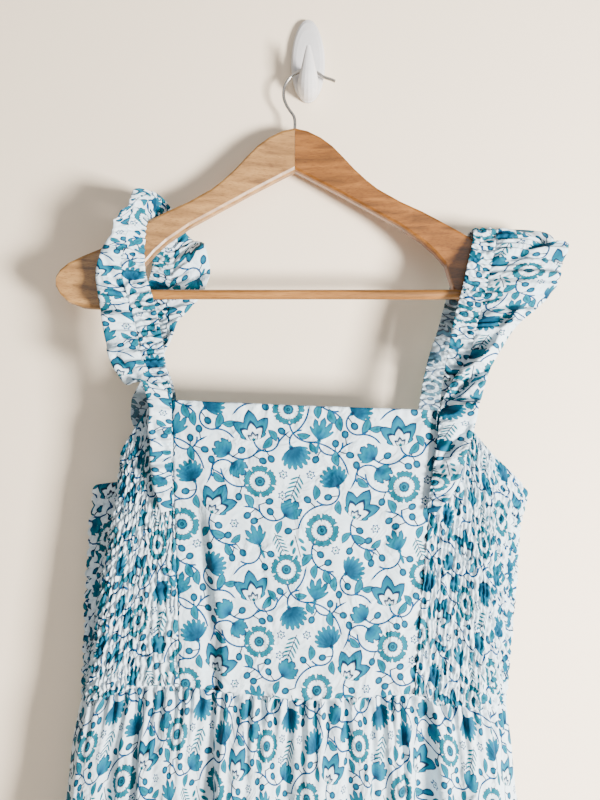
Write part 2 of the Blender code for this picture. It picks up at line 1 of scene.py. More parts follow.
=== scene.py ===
# %% [markdown]
# # A ruffle-strap sundress on its wooden hanger
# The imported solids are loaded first, as a fixed frame in metres. They hold the true form and
# size. Everything below is thin cloth, wood, wire and plastic made finely on that form.
# x runs to the viewer's right, z up, and the wall is the plane y = 0 with the dress on its
# -Y side, so in every table "out" is the distance off the wall and y = -out.

# %% Load the frame
import math

import bpy
import numpy as np
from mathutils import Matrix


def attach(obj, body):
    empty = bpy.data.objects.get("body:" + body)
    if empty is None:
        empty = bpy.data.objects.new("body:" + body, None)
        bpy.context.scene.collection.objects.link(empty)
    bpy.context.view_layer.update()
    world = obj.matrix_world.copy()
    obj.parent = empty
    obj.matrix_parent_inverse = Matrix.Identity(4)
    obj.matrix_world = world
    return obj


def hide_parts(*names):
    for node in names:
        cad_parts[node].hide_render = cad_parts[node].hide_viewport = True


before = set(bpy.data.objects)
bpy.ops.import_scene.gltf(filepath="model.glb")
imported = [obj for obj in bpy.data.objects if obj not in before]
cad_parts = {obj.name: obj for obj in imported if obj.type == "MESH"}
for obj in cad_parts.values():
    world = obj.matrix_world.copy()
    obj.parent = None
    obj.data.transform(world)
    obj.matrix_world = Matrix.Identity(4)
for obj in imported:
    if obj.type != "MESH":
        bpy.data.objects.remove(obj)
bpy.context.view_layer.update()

# %% [markdown]
# ## The camera
# The dress is seen level and from close by, a little left of its middle, with a wide lens,
# so the skirt runs out below the picture and the near cloth looks larger than the wall hook.

# %% Camera
CAMERA_PLACE = (-0.008, -0.62, -0.336)
LENS = 28.0
camera_data = bpy.data.cameras.new("camera")
camera_data.lens = LENS
camera = bpy.data.objects.new("camera", camera_data)
camera.location = CAMERA_PLACE
camera.rotation_euler = (math.radians(90), 0, 0)
bpy.context.collection.objects.link(camera)
bpy.context.scene.camera = camera
print("camera at", CAMERA_PLACE)

# %% [markdown]
# ## Tables of the form
# These are the same few measures that the solids are made from: the bodice as a closed loop
# of named columns, the skirt's widening, its main folds, and the two straps. Repeating them
# here, on finer grids, keeps the cloth on its solids. The tables given to metres(), and the
# lengths in the straps' tables, are in millimetres.

# %% Bodice tables
def metres(*rows):
    """A table of millimetres as an array of metres."""
    return np.array(rows) / 1000


LOOP = ("left_seam", "centre", "right_seam", "right_strap", "right_turn", "right_edge",
        "right_rear", "rear", "left_rear", "left_edge", "left_tuck", "left_fold",
        "left_strap")
BODICE_X = metres(
    # z, then x at each column of LOOP
    (-336, -122, -4, 115, 140, 156, 185, 160, -4, -162, -188, -161, -160, -141.5),
    (-425, -120, -5, 108, 140, 169, 202.5, 176, -4, -176, -201.5, -174.5, -172.5, -144),
    (-450, -119, -6, 105.5, 137, 168, 195.5, 172, -5, -178, -204.5, -180, -177.5, -146),
    (-520, -117, -7, 99.5, 131, 165, 190, 168, -7, -180, -208.5, -191, -188, -150),
    (-612, -114.9, -10, 92.6, 124, 159, 181.5, 158, -10, -180, -209, -205, -200, -155),
)
BODICE_OUT = metres(
    # z, then the distance off the wall at each column of LOOP
    (-336, 66, 67, 66, 64.5, 62, 42, 25, 20, 25, 36, 46, 57, 64),
    (-425, 66, 67, 66, 64, 60, 36, 22, 18, 22, 32, 45, 56, 63.5),
    (-450, 66, 68, 66, 63.5, 60, 36, 22, 18, 22, 32, 45, 56, 63.5),
    (-520, 66, 68, 66, 63.5, 60, 37, 22, 18, 22, 34, 46, 56, 63.5),
    (-612, 66, 68, 66, 64, 60, 38, 23, 18, 23, 40, 48, 56, 63.5),
)
TOP_Z = metres(-336, -341, -345, -354, -382, -427, -424, -424, -421, -416.4, -411, -380, -337)
WAIST_Z = metres(-590.5, -602.5, -597.5, -607, -614, -616, -612, -610, -612, -614.5, -610.5,
                 -609, -591.2)
SPAN_STEPS = (6, 6, 3, 4, 4, 2, 6, 6, 2, 2, 2, 3, 3)   # sections between one column and the next

# %% Skirt and strap tables
# The skirt takes its top from the waist loop and widens as it falls.
SKIRT = metres(
    # z, left x, right x, front out added, back out added
    (-606, -209, 181.5, 0, 0),
    (-650, -218.5, 188, 6, 0),
    (-700, -224, 192.5, 7, 1),
    (-850, -260, 224, 10, 1),
    (-1050, -296, 260, 14, 2),
    (-1245, -321, 287, 18, 2),
)
FRONT_FOLDS = (
    # place across (0 left, 1 right), drift to the hem and half width as shares of the width,
    # depth in metres (+ is a ridge), start (0 waist, 1 hem)
    (0.045, 0.000, 0.030, 0.006, 0.00),
    (0.110, -0.010, 0.022, -0.010, 0.02),
    (0.175, -0.012, 0.030, 0.007, 0.05),
    (0.300, -0.015, 0.026, -0.011, 0.00),
    (0.370, -0.010, 0.032, 0.008, 0.06),
    (0.480, 0.000, 0.040, -0.006, 0.10),
    (0.560, 0.004, 0.026, 0.008, 0.02),
    (0.620, 0.008, 0.020, -0.011, 0.00),
    (0.655, 0.010, 0.018, 0.007, 0.02),
    (0.695, 0.010, 0.018, -0.009, 0.03),
    (0.745, 0.012, 0.024, 0.009, 0.02),
    (0.800, 0.014, 0.018, -0.010, 0.00),
    (0.855, 0.014, 0.020, -0.008, 0.02),
    (0.930, 0.010, 0.034, 0.008, 0.04),
)
BACK_FOLDS = (
    (0.100, 0.000, 0.034, 0.005, 0.02),
    (0.210, 0.010, 0.026, -0.006, 0.00),
    (0.330, 0.006, 0.034, 0.005, 0.06),
    (0.450, 0.000, 0.028, -0.005, 0.00),
    (0.560, -0.004, 0.030, 0.006, 0.03),
    (0.680, -0.010, 0.026, -0.006, 0.00),
    (0.790, -0.012, 0.034, 0.005, 0.05),
    (0.910, 0.000, 0.030, -0.005, 0.02),
)
FRONT_CREASES = metres(
    # x, z at each end, half width, depth (+ is a ridge)
    (-177, -620, -190, -850, 7, -6),
    (-154, -600, -166, -900, 4.2, -8),
    (-88, -600, -94, -820, 6, -7.8),
    (-22, -620, -24, -800, 8, -5),
    (56, -605, 60, -760, 3, -6.2),
    (82, -605, 88, -800, 4.2, -6),
    (100, -610, 112, -1000, 8.5, -12.5),
    (117, -610, 130, -800, 5.2, 4),
)
BACK_CREASES = metres(
    (-150, -610, -162, -880, 6, -4.5),
    (-62, -605, -68, -790, 4, -3.6),
    (15, -610, 18, -860, 7.5, -5),
    (90, -605, 99, -820, 5, -4.8),
    (145, -615, 160, -960, 7, -4.2),
)
SIDE_SEAM_LAP = 0.0010     # each half stands this far off the side seam's middle
HEM_Z = -1.245

BAND_HALF = 0.0105         # half the width of a strap's band
# Each strap with its ruffle, from below the neckline, up the front, over the hanger's arm
# and down behind to the top of the back. The first three rows carry the ruffle alone,
# down the seam of the front panel. Columns: the band's middle x, out, z; how far the band
# is turned about its own length, in degrees; where across the band the ruffle is sewn (-1
# inner edge, +1 outer edge) and how far it stands off; and the step from there to the
# ruffle's free edge, in x, out and z.
STRAP_START = 3
STRAP_UNITS = np.array((0.001, 0.001, 0.001, 1, 1, 0.001, 0.001, 0.001, 0.001))
STRAP_LEFT = (
    # x, out, z, turn, sewn, off, then to the edge x, out, z
    (-131, 67, -433, 0, -1, 4, -10, 3, -2),
    (-131.5, 67, -405, 0, -1, 5, -16, 6, 0),
    (-131.8, 67, -370, 0, -1, 5.5, -17.5, 8, 0),
    (-132, 66.5, -335, 0, -1, 5.5, -19, 8, 4),
    (-137.5, 65.5, -308, 0, 0.5, 4.5, -26, 4, -4),
    (-143, 62.5, -277, 0, 1.13, 2, -27.5, 6, -1),
    (-151, 59, -246.5, 5, 1.13, 0, -26, 6, 1),
    (-159, 55.5, -219.5, 20, 1.13, 0, -20.5, 8, 1),
    (-158, 53.5, -193, 50, 1.13, 0, -13, 7, -1),
    (-154, 49, -164, 66, 1.13, 0, -7, 12, -11),
    (-147, 34, -154, 80, 1.13, 0, -4, 18, -1),
    (-142, 19, -157.5, 120, 1.13, 0, 3, -2, 4),
    (-140, 17.5, -185, 165, 1.13, 0, 12, -2, 10),
    (-140.4, 20.5, -209, 180, 1.13, 0, 31, -3, 22),
    (-145, 26, -237, 180, 1.13, 0, 37, -1, 8),
    (-144, 26, -264, 195, 1.13, 0, 11, 2, 5),
    (-142, 25, -292, 250, 1.13, 0, 3, 5, 2),
    (-139, 24, -322, 320, 1.13, 0, -12, 1, 4),
    (-136, 22, -350, 355, 1.13, 0, -24, 2, 2),
    (-134, 21, -385, 360, 1.13, 0, -12, 2, 2),
    (-132, 20.3, -419, 360, 1.13, 0, -5, 2, 2),
)
STRAP_RIGHT = (
    (114.5, 67, -436, 0, -1, 4, 8, 3, 0),
    (117.5, 67, -414, 0, -1, 5, 21, 6, 0),
    (122, 67, -385, 0, -1, 5.5, 25, 8, 0),
    (126.5, 66.5, -344, 0, -1, 5.5, 31, 8, 0),
    (130, 65.5, -318, 0, -0.2, 4.5, 28, 5, 0),
    (134.5, 64, -295, 0, 0.8, 3.5, 23, 4, 0),
    (140, 62, -268, 0, 1.13, 0, 35, 2, 0),
    (148, 59, -240, 0, 1.13, 0, 58, 3, 0),
    (154.5, 55, -215, 0, 1.13, 0, 62, 6, -1),
    (160, 50, -195, 0, 1.13, 0, 64, 7, -3),
    (162.5, 46, -182.5, 0, 1.13, 0, 64, 2, -11),
    (162.5, 37.8, -177.5, 5, 1.13, 0, 58, 0, -10),
    (160, 28.5, -183.5, 5, 1.13, 0, 48, -4, -4),
    (154, 27, -206, 0, 1.13, 0, 38, -5, 2),
    (143, 27.2, -237, 0, 1.13, 0, 28, -6, 4),
    (133, 27, -273, 0, 1.13, 0, 20, -5, 4),
    (124.5, 25, -300, 0, 1.13, 0, 22, -5, 2),
    (118, 23.5, -333, 0, 1.13, 0, 16, -4, 2),
    (111, 22, -380, 0, 1.13, 0, 8, -2, 2),
    (107, 21, -421.5, 0, 1.13, 0, 4, 0, 2),
)

# %% [markdown]
# ## Curves and grids
# Each piece of cloth is a surface of two parameters, sampled as a grid indexed across, then
# down. A smooth curve through table points gives its form, and the sum of gathers, puckers
# and creases is added along its normals.

# %% Curve and grid helpers
def unit(vectors):
    """Each vector divided by its own length."""
    return vectors / np.linalg.norm(vectors, axis=-1, keepdims=True)


def hermite(start, end, slope, end_slope, t):
    """The cubic from start to end with these slopes, at shares t of the way."""
    return (start * (2 * t**3 - 3 * t**2 + 1) + end * (3 * t**2 - 2 * t**3)
            + slope * (t**3 - 2 * t**2 + t) + end_slope * (t**3 - t**2))


def closed_curve(points, steps):
    """A closed curve of cubic spans through points, each slope the mean of the neighbouring
    chords, weighed by their lengths. steps gives the number of sections in each span."""
    after = np.roll(points, -1, axis=0)
    before = np.roll(points, 1, axis=0)
    ahead = np.linalg.norm(after - points, axis=1, keepdims=True)
    behind = np.linalg.norm(points - before, axis=1, keepdims=True)
    slope = (points - before) / behind * ahead + (after - points) / ahead * behind
    slope /= ahead + behind
    sampled = []
    for i, count in enumerate(steps):
        j = (i + 1) % len(points)
        t = (np.arange(count) / count)[:, None]
        sampled.append(hermite(points[i], points[j], slope[i] * ahead[i], slope[j] * ahead[i], t))
    return np.vstack(sampled)


def rows_smoothed(rows, steps):
    """A table's rows with steps sections between each two, every column a cubic in the row
    number whose slopes are central differences."""
    slope = np.gradient(rows, axis=0)
    sampled = []
    for i in range(len(rows) - 1):
        t = (np.arange(steps) / steps)[:, None]
        sampled.append(hermite(rows[i], rows[i + 1], slope[i], slope[i + 1], t))
    return np.vstack(sampled + [rows[-1:]])


def run_of(points):
    """Distance run along a line of points, from its first."""
    return np.concatenate([[0], np.cumsum(np.linalg.norm(np.diff(points, axis=0), axis=1))])


def grid_normals(grid, facing):
    """Unit normals of a grid: the cross product of its two differences, all turned so that
    on the whole they agree with the directions in facing."""
    normals = unit(np.cross(np.gradient(grid, axis=0), np.gradient(grid, axis=1)))
    return normals if (normals * facing).sum() > 0 else -normals


def resampled(grid, count):
    """The grid with count even sections across, even along its middle row."""
    run = run_of(grid[:, grid.shape[1] // 2])
    where = np.interp(np.linspace(0, run[-1], count + 1), run, np.arange(len(run)))
    low = np.minimum(where.astype(int), len(run) - 2)
    part = (where - low)[:, None, None]
    return grid[low] * (1 - part) + grid[low + 1] * part


def softened(values, width):
    """Values averaged with their neighbours over a window, the ends held."""
    pad = width // 2
    padded = np.pad(values, pad, mode="edge")
    return np.convolve(padded, np.ones(2 * pad + 1) / (2 * pad + 1), mode="valid")


def smooth_step(low, high, value):
    """0 below low, 1 above high, and an even S curve between."""
    t = np.clip((value - low) / (high - low), 0, 1)
    return t * t * (3 - 2 * t)


# %% [markdown]
# ## Colour and nodes
# Colours are written as sRGB hex and turned to linear in one place. One function adds a
# shader node with its settings and its links, and every material below is built with it.

# %% Colour and node helpers
def linear(code):
    """The linear RGBA of an sRGB hex colour, by the sRGB curve."""
    parts = [int(code[i:i + 2], 16) / 255 for i in (1, 3, 5)]
    return (*[p / 12.92 if p <= 0.04045 else ((p + 0.055) / 1.055) ** 2.4 for p in parts], 1.0)


def fill(tree, made, links):
    """Gives a node its links, each a pair of a socket's name or number and what it takes: a
    value, an output, or a node for the first output it has in use. A link that is no pair
    takes the socket of its place."""
    for place, link in enumerate(links):
        socket, source = link if isinstance(link, tuple) and len(link) == 2 else (place, link)
        if isinstance(source, bpy.types.Node):
            source = next(output for output in source.outputs if output.enabled)
        if isinstance(source, bpy.types.NodeSocket):
            tree.links.new(source, made.inputs[socket])
        else:
            made.inputs[socket].default_value = source


def node(tree, kind, links=(), **settings):
    """Adds a shader node with its settings and its links. A kind may name its operation."""
    kind, _, operation = kind.partition(" ")
    made = tree.nodes.new("ShaderNode" + kind)
    if operation:
        made.operation = operation
    for name, value in settings.items():
        setattr(made, name, value)
    fill(tree, made, links)
    return made


def set_stops(ramp, stops):
    """Gives a colour ramp its stops, each a place and a colour."""
    elements = ramp.color_ramp.elements
    while len(elements) < len(stops):
        elements.new(1.0)
    for element, (place, colour) in zip(elements, stops):
        element.position = place
        element.color = colour
    return ramp


def mottled(tree, shader, scale, detail, low, high):
    """Gives a shader a base colour that drifts between two, by a noise that is returned."""
    place = node(tree, "TexCoord").outputs["Object"]
    noise = node(tree, "TexNoise", [("Vector", place), ("Scale", scale), ("Detail", detail)])
    colour = set_stops(node(tree, "ValToRGB", [noise]), [(0.3, low), (0.7, high)])
    fill(tree, shader, [("Base Color", colour)])
    return noise


def new_material(name):
    """A material with one Principled shader, and its tree and that shader."""
    made = bpy.data.materials.new(name)
    made.use_nodes = True
    return made, made.node_tree, made.node_tree.nodes["Principled BSDF"]


# %% [markdown]
# ## The print
# The cotton is screen printed: teal and blue flowers on slate stems, on white. The repeat is drawn
# afresh. Flowers are polar outlines, the reach of a petal being a cosine of the angle with a serrated
# edge; leaves are pointed ovals, sprigs are rows of leaflets, and stems are arcs. The flowers are charted
# one by one. The rest follows by rule: of many curling stems the clearest is kept for each flower, leaves
# and buds branch from the stems where there is room, and sprigs and stars fill the gaps.

# %% Lay out the repeat
TILE = np.array([124.0, 142.0])    # mm of cloth to the repeat, across and down
FLOWERS = (
    # kind, reach in mm, room about its middle, x and y in mm, the way it faces in degrees
    ("rosette", 14.5, 14.5, 12, 20, 60), ("carnation", 19.0, 11.0, 20, 67, 118),
    ("tulip", 19.0, 10.0, 9, 108, 78), ("palmette", 25.0, 14.0, 44, 42, 64),
    ("poppy", 16.0, 9.0, 49, 89, 140), ("carnation", 18.0, 10.5, 41, 129, 35),
    ("tulip", 18.0, 10.0, 78, 12, 112), ("rosette", 14.0, 14.0, 81, 61, 20),
    ("palmette", 24.0, 13.5, 74, 108, 100), ("poppy", 17.0, 9.5, 108, 37, 48),
    ("carnation", 20.0, 11.5, 112, 84, -62), ("rosette", 13.5, 13.5, 105, 126, 95),
    ("poppy", 15.0, 8.5, 62, 72, -40),
)
SPRIGS = (
    # kind, half length in mm, room in mm
    ("fern", 11.0, 6.5), ("berries", 10.0, 6.5), ("fern", 9.0, 5.5),
)
STARS = 5
TRIALS = 260               # curling stems tried for each flower, the clearest is kept
CHANCES = 900              # places tried for each sprig or star
HEART = 0.48               # a flower's heart lies this share of its reach behind its middle
ROSETTE_FOOT = 0.9         # and a rosette's stem starts this share out from its middle
CLEAR_ENOUGH = 7           # mm, beyond this a stem gains nothing by lying clearer
LEAF_ROOM = 2.7            # mm a leaf or bud needs beyond what is placed
layout = np.random.default_rng(23)
placed = [(np.array([x, y], float), room) for _, _, room, x, y, _ in FLOWERS]


def wrapped(offset):
    """The shortest way from one place to another over the repeat, in x and y."""
    return (offset + TILE / 2) % TILE - TILE / 2


def clear_at(places):
    """How far each place lies clear of all placed so far."""
    places = np.atleast_2d(places)
    spots = np.array([place for place, _ in placed])
    taken = np.array([room for _, room in placed])
    return (np.linalg.norm(wrapped(places[:, None] - spots), axis=-1) - taken).min(axis=1)


def best_place(room):
    """The one of many chance places that lies farthest clear of all placed so far."""
    chance = layout.uniform((0, 0), TILE, (CHANCES, 2))
    best = chance[int(np.argmax(clear_at(chance)))]
    placed.append((best, room))
    return best


def arc_points(foot, heading, radius, sweep):
    """Points along an arc that leaves foot along heading and turns by sweep (+ is to the
    left), with the headings there, and the arc's middle."""
    side = math.copysign(1, sweep)
    middle = foot + radius * side * np.array([-math.sin(heading), math.cos(heading)])
    turned = heading + np.linspace(0, 1, 9) * sweep
    points = middle + radius * side * np.stack([np.sin(turned), -np.cos(turned)], axis=1)
    return points, turned, middle


flowers = []
stems = []                 # the arc's middle, the turn to its crown, its radius, where it is cut
branches = []              # points and headings along each arc
for kind, reach, room, x, y, facing in FLOWERS:
    turn = math.radians(facing)
    way = np.array([math.cos(turn), math.sin(turn)])
    flowers.append((kind, reach, x, y, turn))
    foot = np.array([x, y]) - way * reach * (ROSETTE_FOOT if kind == "rosette" else HEART)
    best = None
    for _ in range(TRIALS):
        side = layout.choice((-1, 1))
        first = arc_points(foot, turn + math.pi, layout.uniform(10, 19), side * layout.uniform(1.6, 3.6))
        second = arc_points(first[0][-3], first[1][-3] + math.pi * 0.06, layout.uniform(16, 34),
                            -side * layout.uniform(0.6, 1.5))
        points = np.concatenate([first[0][2:], second[0][2:]])
        clear = clear_at(points)
        score = np.minimum(clear, CLEAR_ENOUGH).mean() + 0.6 * clear.min()
        if best is None or score > best[0]:
            best = (score, first, second)
    for points, turned, middle in best[1:]:
        radius = np.linalg.norm(points[0] - middle)
        crown = points[4] - middle
        stems.append((*middle, math.atan2(crown[1], crown[0]), radius,
                      radius * math.cos(abs(turned[-1] - turned[0]) / 2)))
        branches.append((points, turned))
        placed += [(point, 1.2) for point in points[1:]]

leaves = []                # kind, x, y, turn, length
for points, turned in branches:
    for k in range(1, 9):
        side = 1 if k % 2 else -1
        for kind, off, lean, length, room in (("bud", 9.5, 1.15, 3.7, 4.6),
                                              ("leaf", 7.2, 0.75, layout.uniform(6.0, 8.0), 4.0)):
            turn = turned[k] + side * lean
            way = np.array([math.cos(turn), math.sin(turn)])
            place = points[k] + off * way
            tip = place + 3.0 * way
            if clear_at(np.array([place, tip])).min() > LEAF_ROOM:
                leaves.append((kind, *place, turn, length))
                placed.append((place, room))
sprigs = [(kind, *best_place(room), layout.uniform(0, 6.28), half) for kind, half, room in SPRIGS]
for _ in range(STARS):
    leaves.append(("star", *best_place(4.0), layout.uniform(0, 6.28), 3.4))
print(len(flowers), "flowers,", len(stems), "stems,", len(leaves), "leaves, buds and stars")


# %% [markdown]
# ## One node group for each motif
# A motif is a small node group that takes the cloth's coordinates, what is printed so far,
# and its own middle, turn and size, and lays itself over the print. Inside, a number called
# reach is 0 at the motif's heart and 1 at its outline, and a colour ramp reads it: the ramp's
# colours are the inks from heart to outline, and its alpha ends at the outline.

# %% Inks and outlines
SLATE, DEEP, BLUE, TURQUOISE = "#032440", "#003A54", "#005270", "#006478"
LEAF, STEM, WHITE = "#005664", "#003C66", "#CFDEE8"
FLOWER_SHAPES = {
    # kind: angle factor and power of its spread, teeth of its rim, their depth, cuts between
    # petals, how narrow and how deep these are, then stops of reach and ink
    "carnation": (1.18, 0.30, 7.2, 0.060, 23.0, 0.60, 0.32, (
        (0.0, SLATE), (0.10, SLATE), (0.15, DEEP), (0.45, DEEP), (0.75, BLUE),
        (0.90, TURQUOISE), (0.97, BLUE))),
    "poppy": (1.22, 0.34, 4.4, 0.050, 11.0, 0.80, 1.00, (
        (0.0, SLATE), (0.14, SLATE), (0.20, DEEP), (0.45, BLUE), (0.78, TURQUOISE),
        (0.92, BLUE), (0.97, SLATE))),
    "tulip": (1.62, 0.30, 5.0, 0.130, 15.0, 0.75, 0.95, (
        (0.0, SLATE), (0.10, DEEP), (0.30, BLUE), (0.70, TURQUOISE), (0.93, BLUE), (1.0, SLATE))),
    "palmette": (1.15, 0.42, 2.9, 0.170, 9.0, 0.20, 0.05, (
        (0.0, SLATE), (0.10, LEAF), (0.16, WHITE), (0.25, SLATE), (0.30, SLATE), (0.34, WHITE),
        (0.53, WHITE), (0.57, SLATE), (0.65, SLATE), (0.69, TURQUOISE), (0.92, BLUE),
        (0.97, SLATE))),
    "rosette": (None, None, 7.2, 0.040, 5.0, 0.95, 9.00, (
        (0.0, LEAF), (0.10, SLATE), (0.15, TURQUOISE), (0.27, DEEP), (0.32, SLATE), (0.37, WHITE),
        (0.60, WHITE), (0.66, SLATE), (0.71, TURQUOISE), (0.84, LEAF), (0.93, TURQUOISE),
        (0.98, SLATE))),
    "star": (None, None, 1.9, 0.260, 6.0, 0.90, 0.50, (
        (0.0, LEAF), (0.28, LEAF), (0.34, WHITE), (0.60, WHITE), (0.68, STEM), (1.0, STEM))),
}
EDGE = 0.02                # how soft a motif's outline is, as a share of its reach
FILLED = 0.9               # the ramp place that stands for a motif's full reach
STEM_HALF = 0.82           # mm, half a stem's width


def lay_over(tree, print_so_far, reach, stops):
    """Lays a motif's inks over the print, where its reach is below full."""
    scaled = node(tree, "Math MULTIPLY", [reach, FILLED])
    last = linear(stops[-1][1])
    ramp_stops = [(place * FILLED, linear(ink)) for place, ink in stops]
    ramp_stops += [(FILLED, last), (FILLED + EDGE, (*last[:3], 0.0))]
    ramp = set_stops(node(tree, "ValToRGB", [scaled]), ramp_stops)
    return node(tree, "Mix", [ramp.outputs["Alpha"], (6, print_so_far), (7, ramp)], data_type="RGBA")


def motif_group(name, draw, *facts):
    """A node group with a motif's sockets. It turns the cloth's coordinates to the motif's
    own, wrapped to the repeat, and has draw lay the motif over the print. It passes the
    coordinates on plus nothing times its print, so the renderer finishes each motif before
    it starts the next, and the many motifs fit in its small working memory."""
    group = bpy.data.node_groups.new("motif " + name, "ShaderNodeTree")
    for socket, kind in (("Cloth", "Vector"), ("Print", "Color"), ("Middle", "Vector"),
                         ("Turn", "Vector"), ("Size", "Vector")):
        group.interface.new_socket(socket, in_out="INPUT", socket_type="NodeSocket" + kind)
    group.interface.new_socket("Print", in_out="OUTPUT", socket_type="NodeSocketColor")
    group.interface.new_socket("Cloth", in_out="OUTPUT", socket_type="NodeSocketVector")
    given = group.nodes.new("NodeGroupInput").outputs
    moved = node(group, "VectorMath SUBTRACT", [given["Cloth"], given["Middle"]])
    near = node(group, "VectorMath WRAP", [moved, (*TILE / 2, 1), (*-TILE / 2, -1)])
    place = node(group, "Mapping", [("Vector", near), ("Rotation", given["Turn"]),
                                    ("Scale", (1, 1, 1) if name == "stem" else given["Size"])],
                 vector_type="TEXTURE")
    drawn = draw(group, place, given["Size"], given["Print"], *facts)
    passed_on = node(group, "VectorMath MULTIPLY_ADD", [drawn, (0, 0, 0), given["Cloth"]])
    fill(group, group.nodes.new("NodeGroupOutput"), [("Print", drawn), ("Cloth", passed_on)])
    return group


def draw_stem(tree, place, size, print_so_far):
    """The ring of a circle of radius size x, kept where y is above size y: an arc."""
    far = node(tree, "VectorMath LENGTH", [place])
    radius, back, _ = node(tree, "SeparateXYZ", [size]).outputs
    ring = node(tree, "Math COMPARE", [far, radius, STEM_HALF])
    _, y, _ = node(tree, "SeparateXYZ", [place]).outputs
    kept = node(tree, "Math GREATER_THAN", [y, back])
    mask = node(tree, "Math MULTIPLY", [ring, kept])
    return node(tree, "Mix", [mask, (6, print_so_far), (7, linear(STEM))], data_type="RGBA")


def draw_leaf(tree, place, size, print_so_far):
    """A leaf reaches |x| + y squared, x being bent by a share of y squared."""
    x, y, _ = node(tree, "SeparateXYZ", [place]).outputs
    square = node(tree, "Math MULTIPLY", [y, y])
    bent = node(tree, "Math MULTIPLY_ADD", [square, 0.45, x])
    side = node(tree, "Math ABSOLUTE", [bent])
    reach = node(tree, "Math ADD", [side, square])
    stops = ((0.0, SLATE), (0.06, LEAF), (0.55, TURQUOISE), (0.80, BLUE), (0.93, SLATE))
    return lay_over(tree, print_so_far, reach, stops)


def draw_bud(tree, place, size, print_so_far):
    """A bud is a disc a little longer than wide, on a short straight stalk."""
    x, y, _ = node(tree, "SeparateXYZ", [place]).outputs
    line = node(tree, "Math COMPARE", [x, 0.0, 0.17])
    length = node(tree, "Math COMPARE", [y, -1.7, 1.1])
    stalk = node(tree, "Math MULTIPLY", [line, length])
    stalked = node(tree, "Mix", [stalk, (6, print_so_far), (7, linear(SLATE))], data_type="RGBA")
    reach = node(tree, "VectorMath LENGTH", [place])
    stops = ((0.0, TURQUOISE), (0.45, BLUE), (0.75, DEEP), (0.92, SLATE))
    return lay_over(tree, stalked, reach, stops)


def draw_sprig(tree, place, size, print_so_far, pitch, out, wide, tall, half):
    """Leaflets on both sides of a straight stalk: ovals a set distance out, repeated along
    the stalk and swept forward, kept within the sprig's half length."""
    x, y, _ = node(tree, "SeparateXYZ", [place]).outputs
    side = node(tree, "Math ABSOLUTE", [x])
    swept = node(tree, "Math MULTIPLY_ADD", [side, -0.8, y])
    row = node(tree, "Math WRAP", [swept, pitch / 2, -pitch / 2])
    tallness = node(tree, "Math MULTIPLY", [row, row])
    along = node(tree, "Math MULTIPLY_ADD", [side, 1 / wide, -out / wide])
    wideness = node(tree, "Math MULTIPLY", [along, along])
    oval = node(tree, "Math MULTIPLY_ADD", [tallness, 1 / tall**2, wideness])
    length = node(tree, "Math ABSOLUTE", [swept])
    beyond = node(tree, "Math GREATER_THAN", [length, half])
    reach = node(tree, "Math MULTIPLY_ADD", [beyond, 9.0, oval])
    stops = ((0.0, LEAF), (0.5, TURQUOISE), (0.85, BLUE), (0.95, SLATE))
    leaflets = lay_over(tree, print_so_far, reach, stops)
    wide_stalk = node(tree, "Math MULTIPLY", [side, 2.0])
    stalk = node(tree, "Math MULTIPLY_ADD", [beyond, 9.0, wide_stalk])
    return lay_over(tree, leaflets, stalk, ((0.0, SLATE), (1.0, SLATE)))


def draw_flower(tree, place, size, print_so_far, spread, power, teeth, depth, cuts, narrow,
                deep, stops):
    """Reach along each angle is cos(k angle) to a power, times one plus a saw-toothed wave.
    A rosette reaches alike all round. The cuts between petals add to the reach where the
    cosine of their angle is least, and more towards the rim."""
    far = node(tree, "VectorMath LENGTH", [place])
    x, y, _ = node(tree, "SeparateXYZ", [place]).outputs
    angle = node(tree, "Math ARCTAN2", [x, y])
    wave = node(tree, "Math MULTIPLY", [angle, teeth])
    tooth = node(tree, "Math PINGPONG", [wave, 1.0])
    limit = node(tree, "Math MULTIPLY_ADD", [tooth, -2 * depth, 1 + depth])
    if spread is not None:
        fan = node(tree, "Math MULTIPLY", [angle, spread])
        lobe = node(tree, "Math COSINE", [fan])
        above = node(tree, "Math MAXIMUM", [lobe, 0.0005])
        shape = node(tree, "Math POWER", [above, power])
        limit = node(tree, "Math MULTIPLY", [limit, shape])
    share = node(tree, "Math DIVIDE", [far, limit])
    around = node(tree, "Math MULTIPLY", [angle, cuts])
    ripple = node(tree, "Math COSINE", [around])
    least = node(tree, "Math MINIMUM", [ripple, -narrow])
    cut = node(tree, "Math MULTIPLY_ADD", [least, -deep, -deep * narrow])
    square = node(tree, "Math MULTIPLY", [share, share])
    reach = node(tree, "Math MULTIPLY_ADD", [cut, square, share])
    return lay_over(tree, print_so_far, reach, stops)


MOTIFS = {"stem": motif_group("stem", draw_stem), "leaf": motif_group("leaf", draw_leaf),
          "bud": motif_group("bud", draw_bud),
          "fern": motif_group("fern", draw_sprig, 4.6, 3.4, 3.2, 1.3, 12.0),
          "berries": motif_group("berries", draw_sprig, 8.4, 5.2, 2.7, 2.7, 12.0)}
for kind, facts in FLOWER_SHAPES.items():
    MOTIFS[kind] = motif_group(kind, draw_flower, *facts)
print(len(MOTIFS), "motifs")


# %% Print the repeat
def stamp(tree, flat, print_so_far, kind, x, y, turn, size):
    """Adds one motif of a kind to the print, upright along its turn."""
    made = node(tree, "Group", node_tree=MOTIFS[kind])
    fill(tree, made, [("Cloth", flat), ("Print", print_so_far), ("Middle", (x, y, 0)),
                      ("Turn", (0, 0, turn - math.pi / 2)), ("Size", size)])
    return made.outputs["Cloth"], made.outputs["Print"]


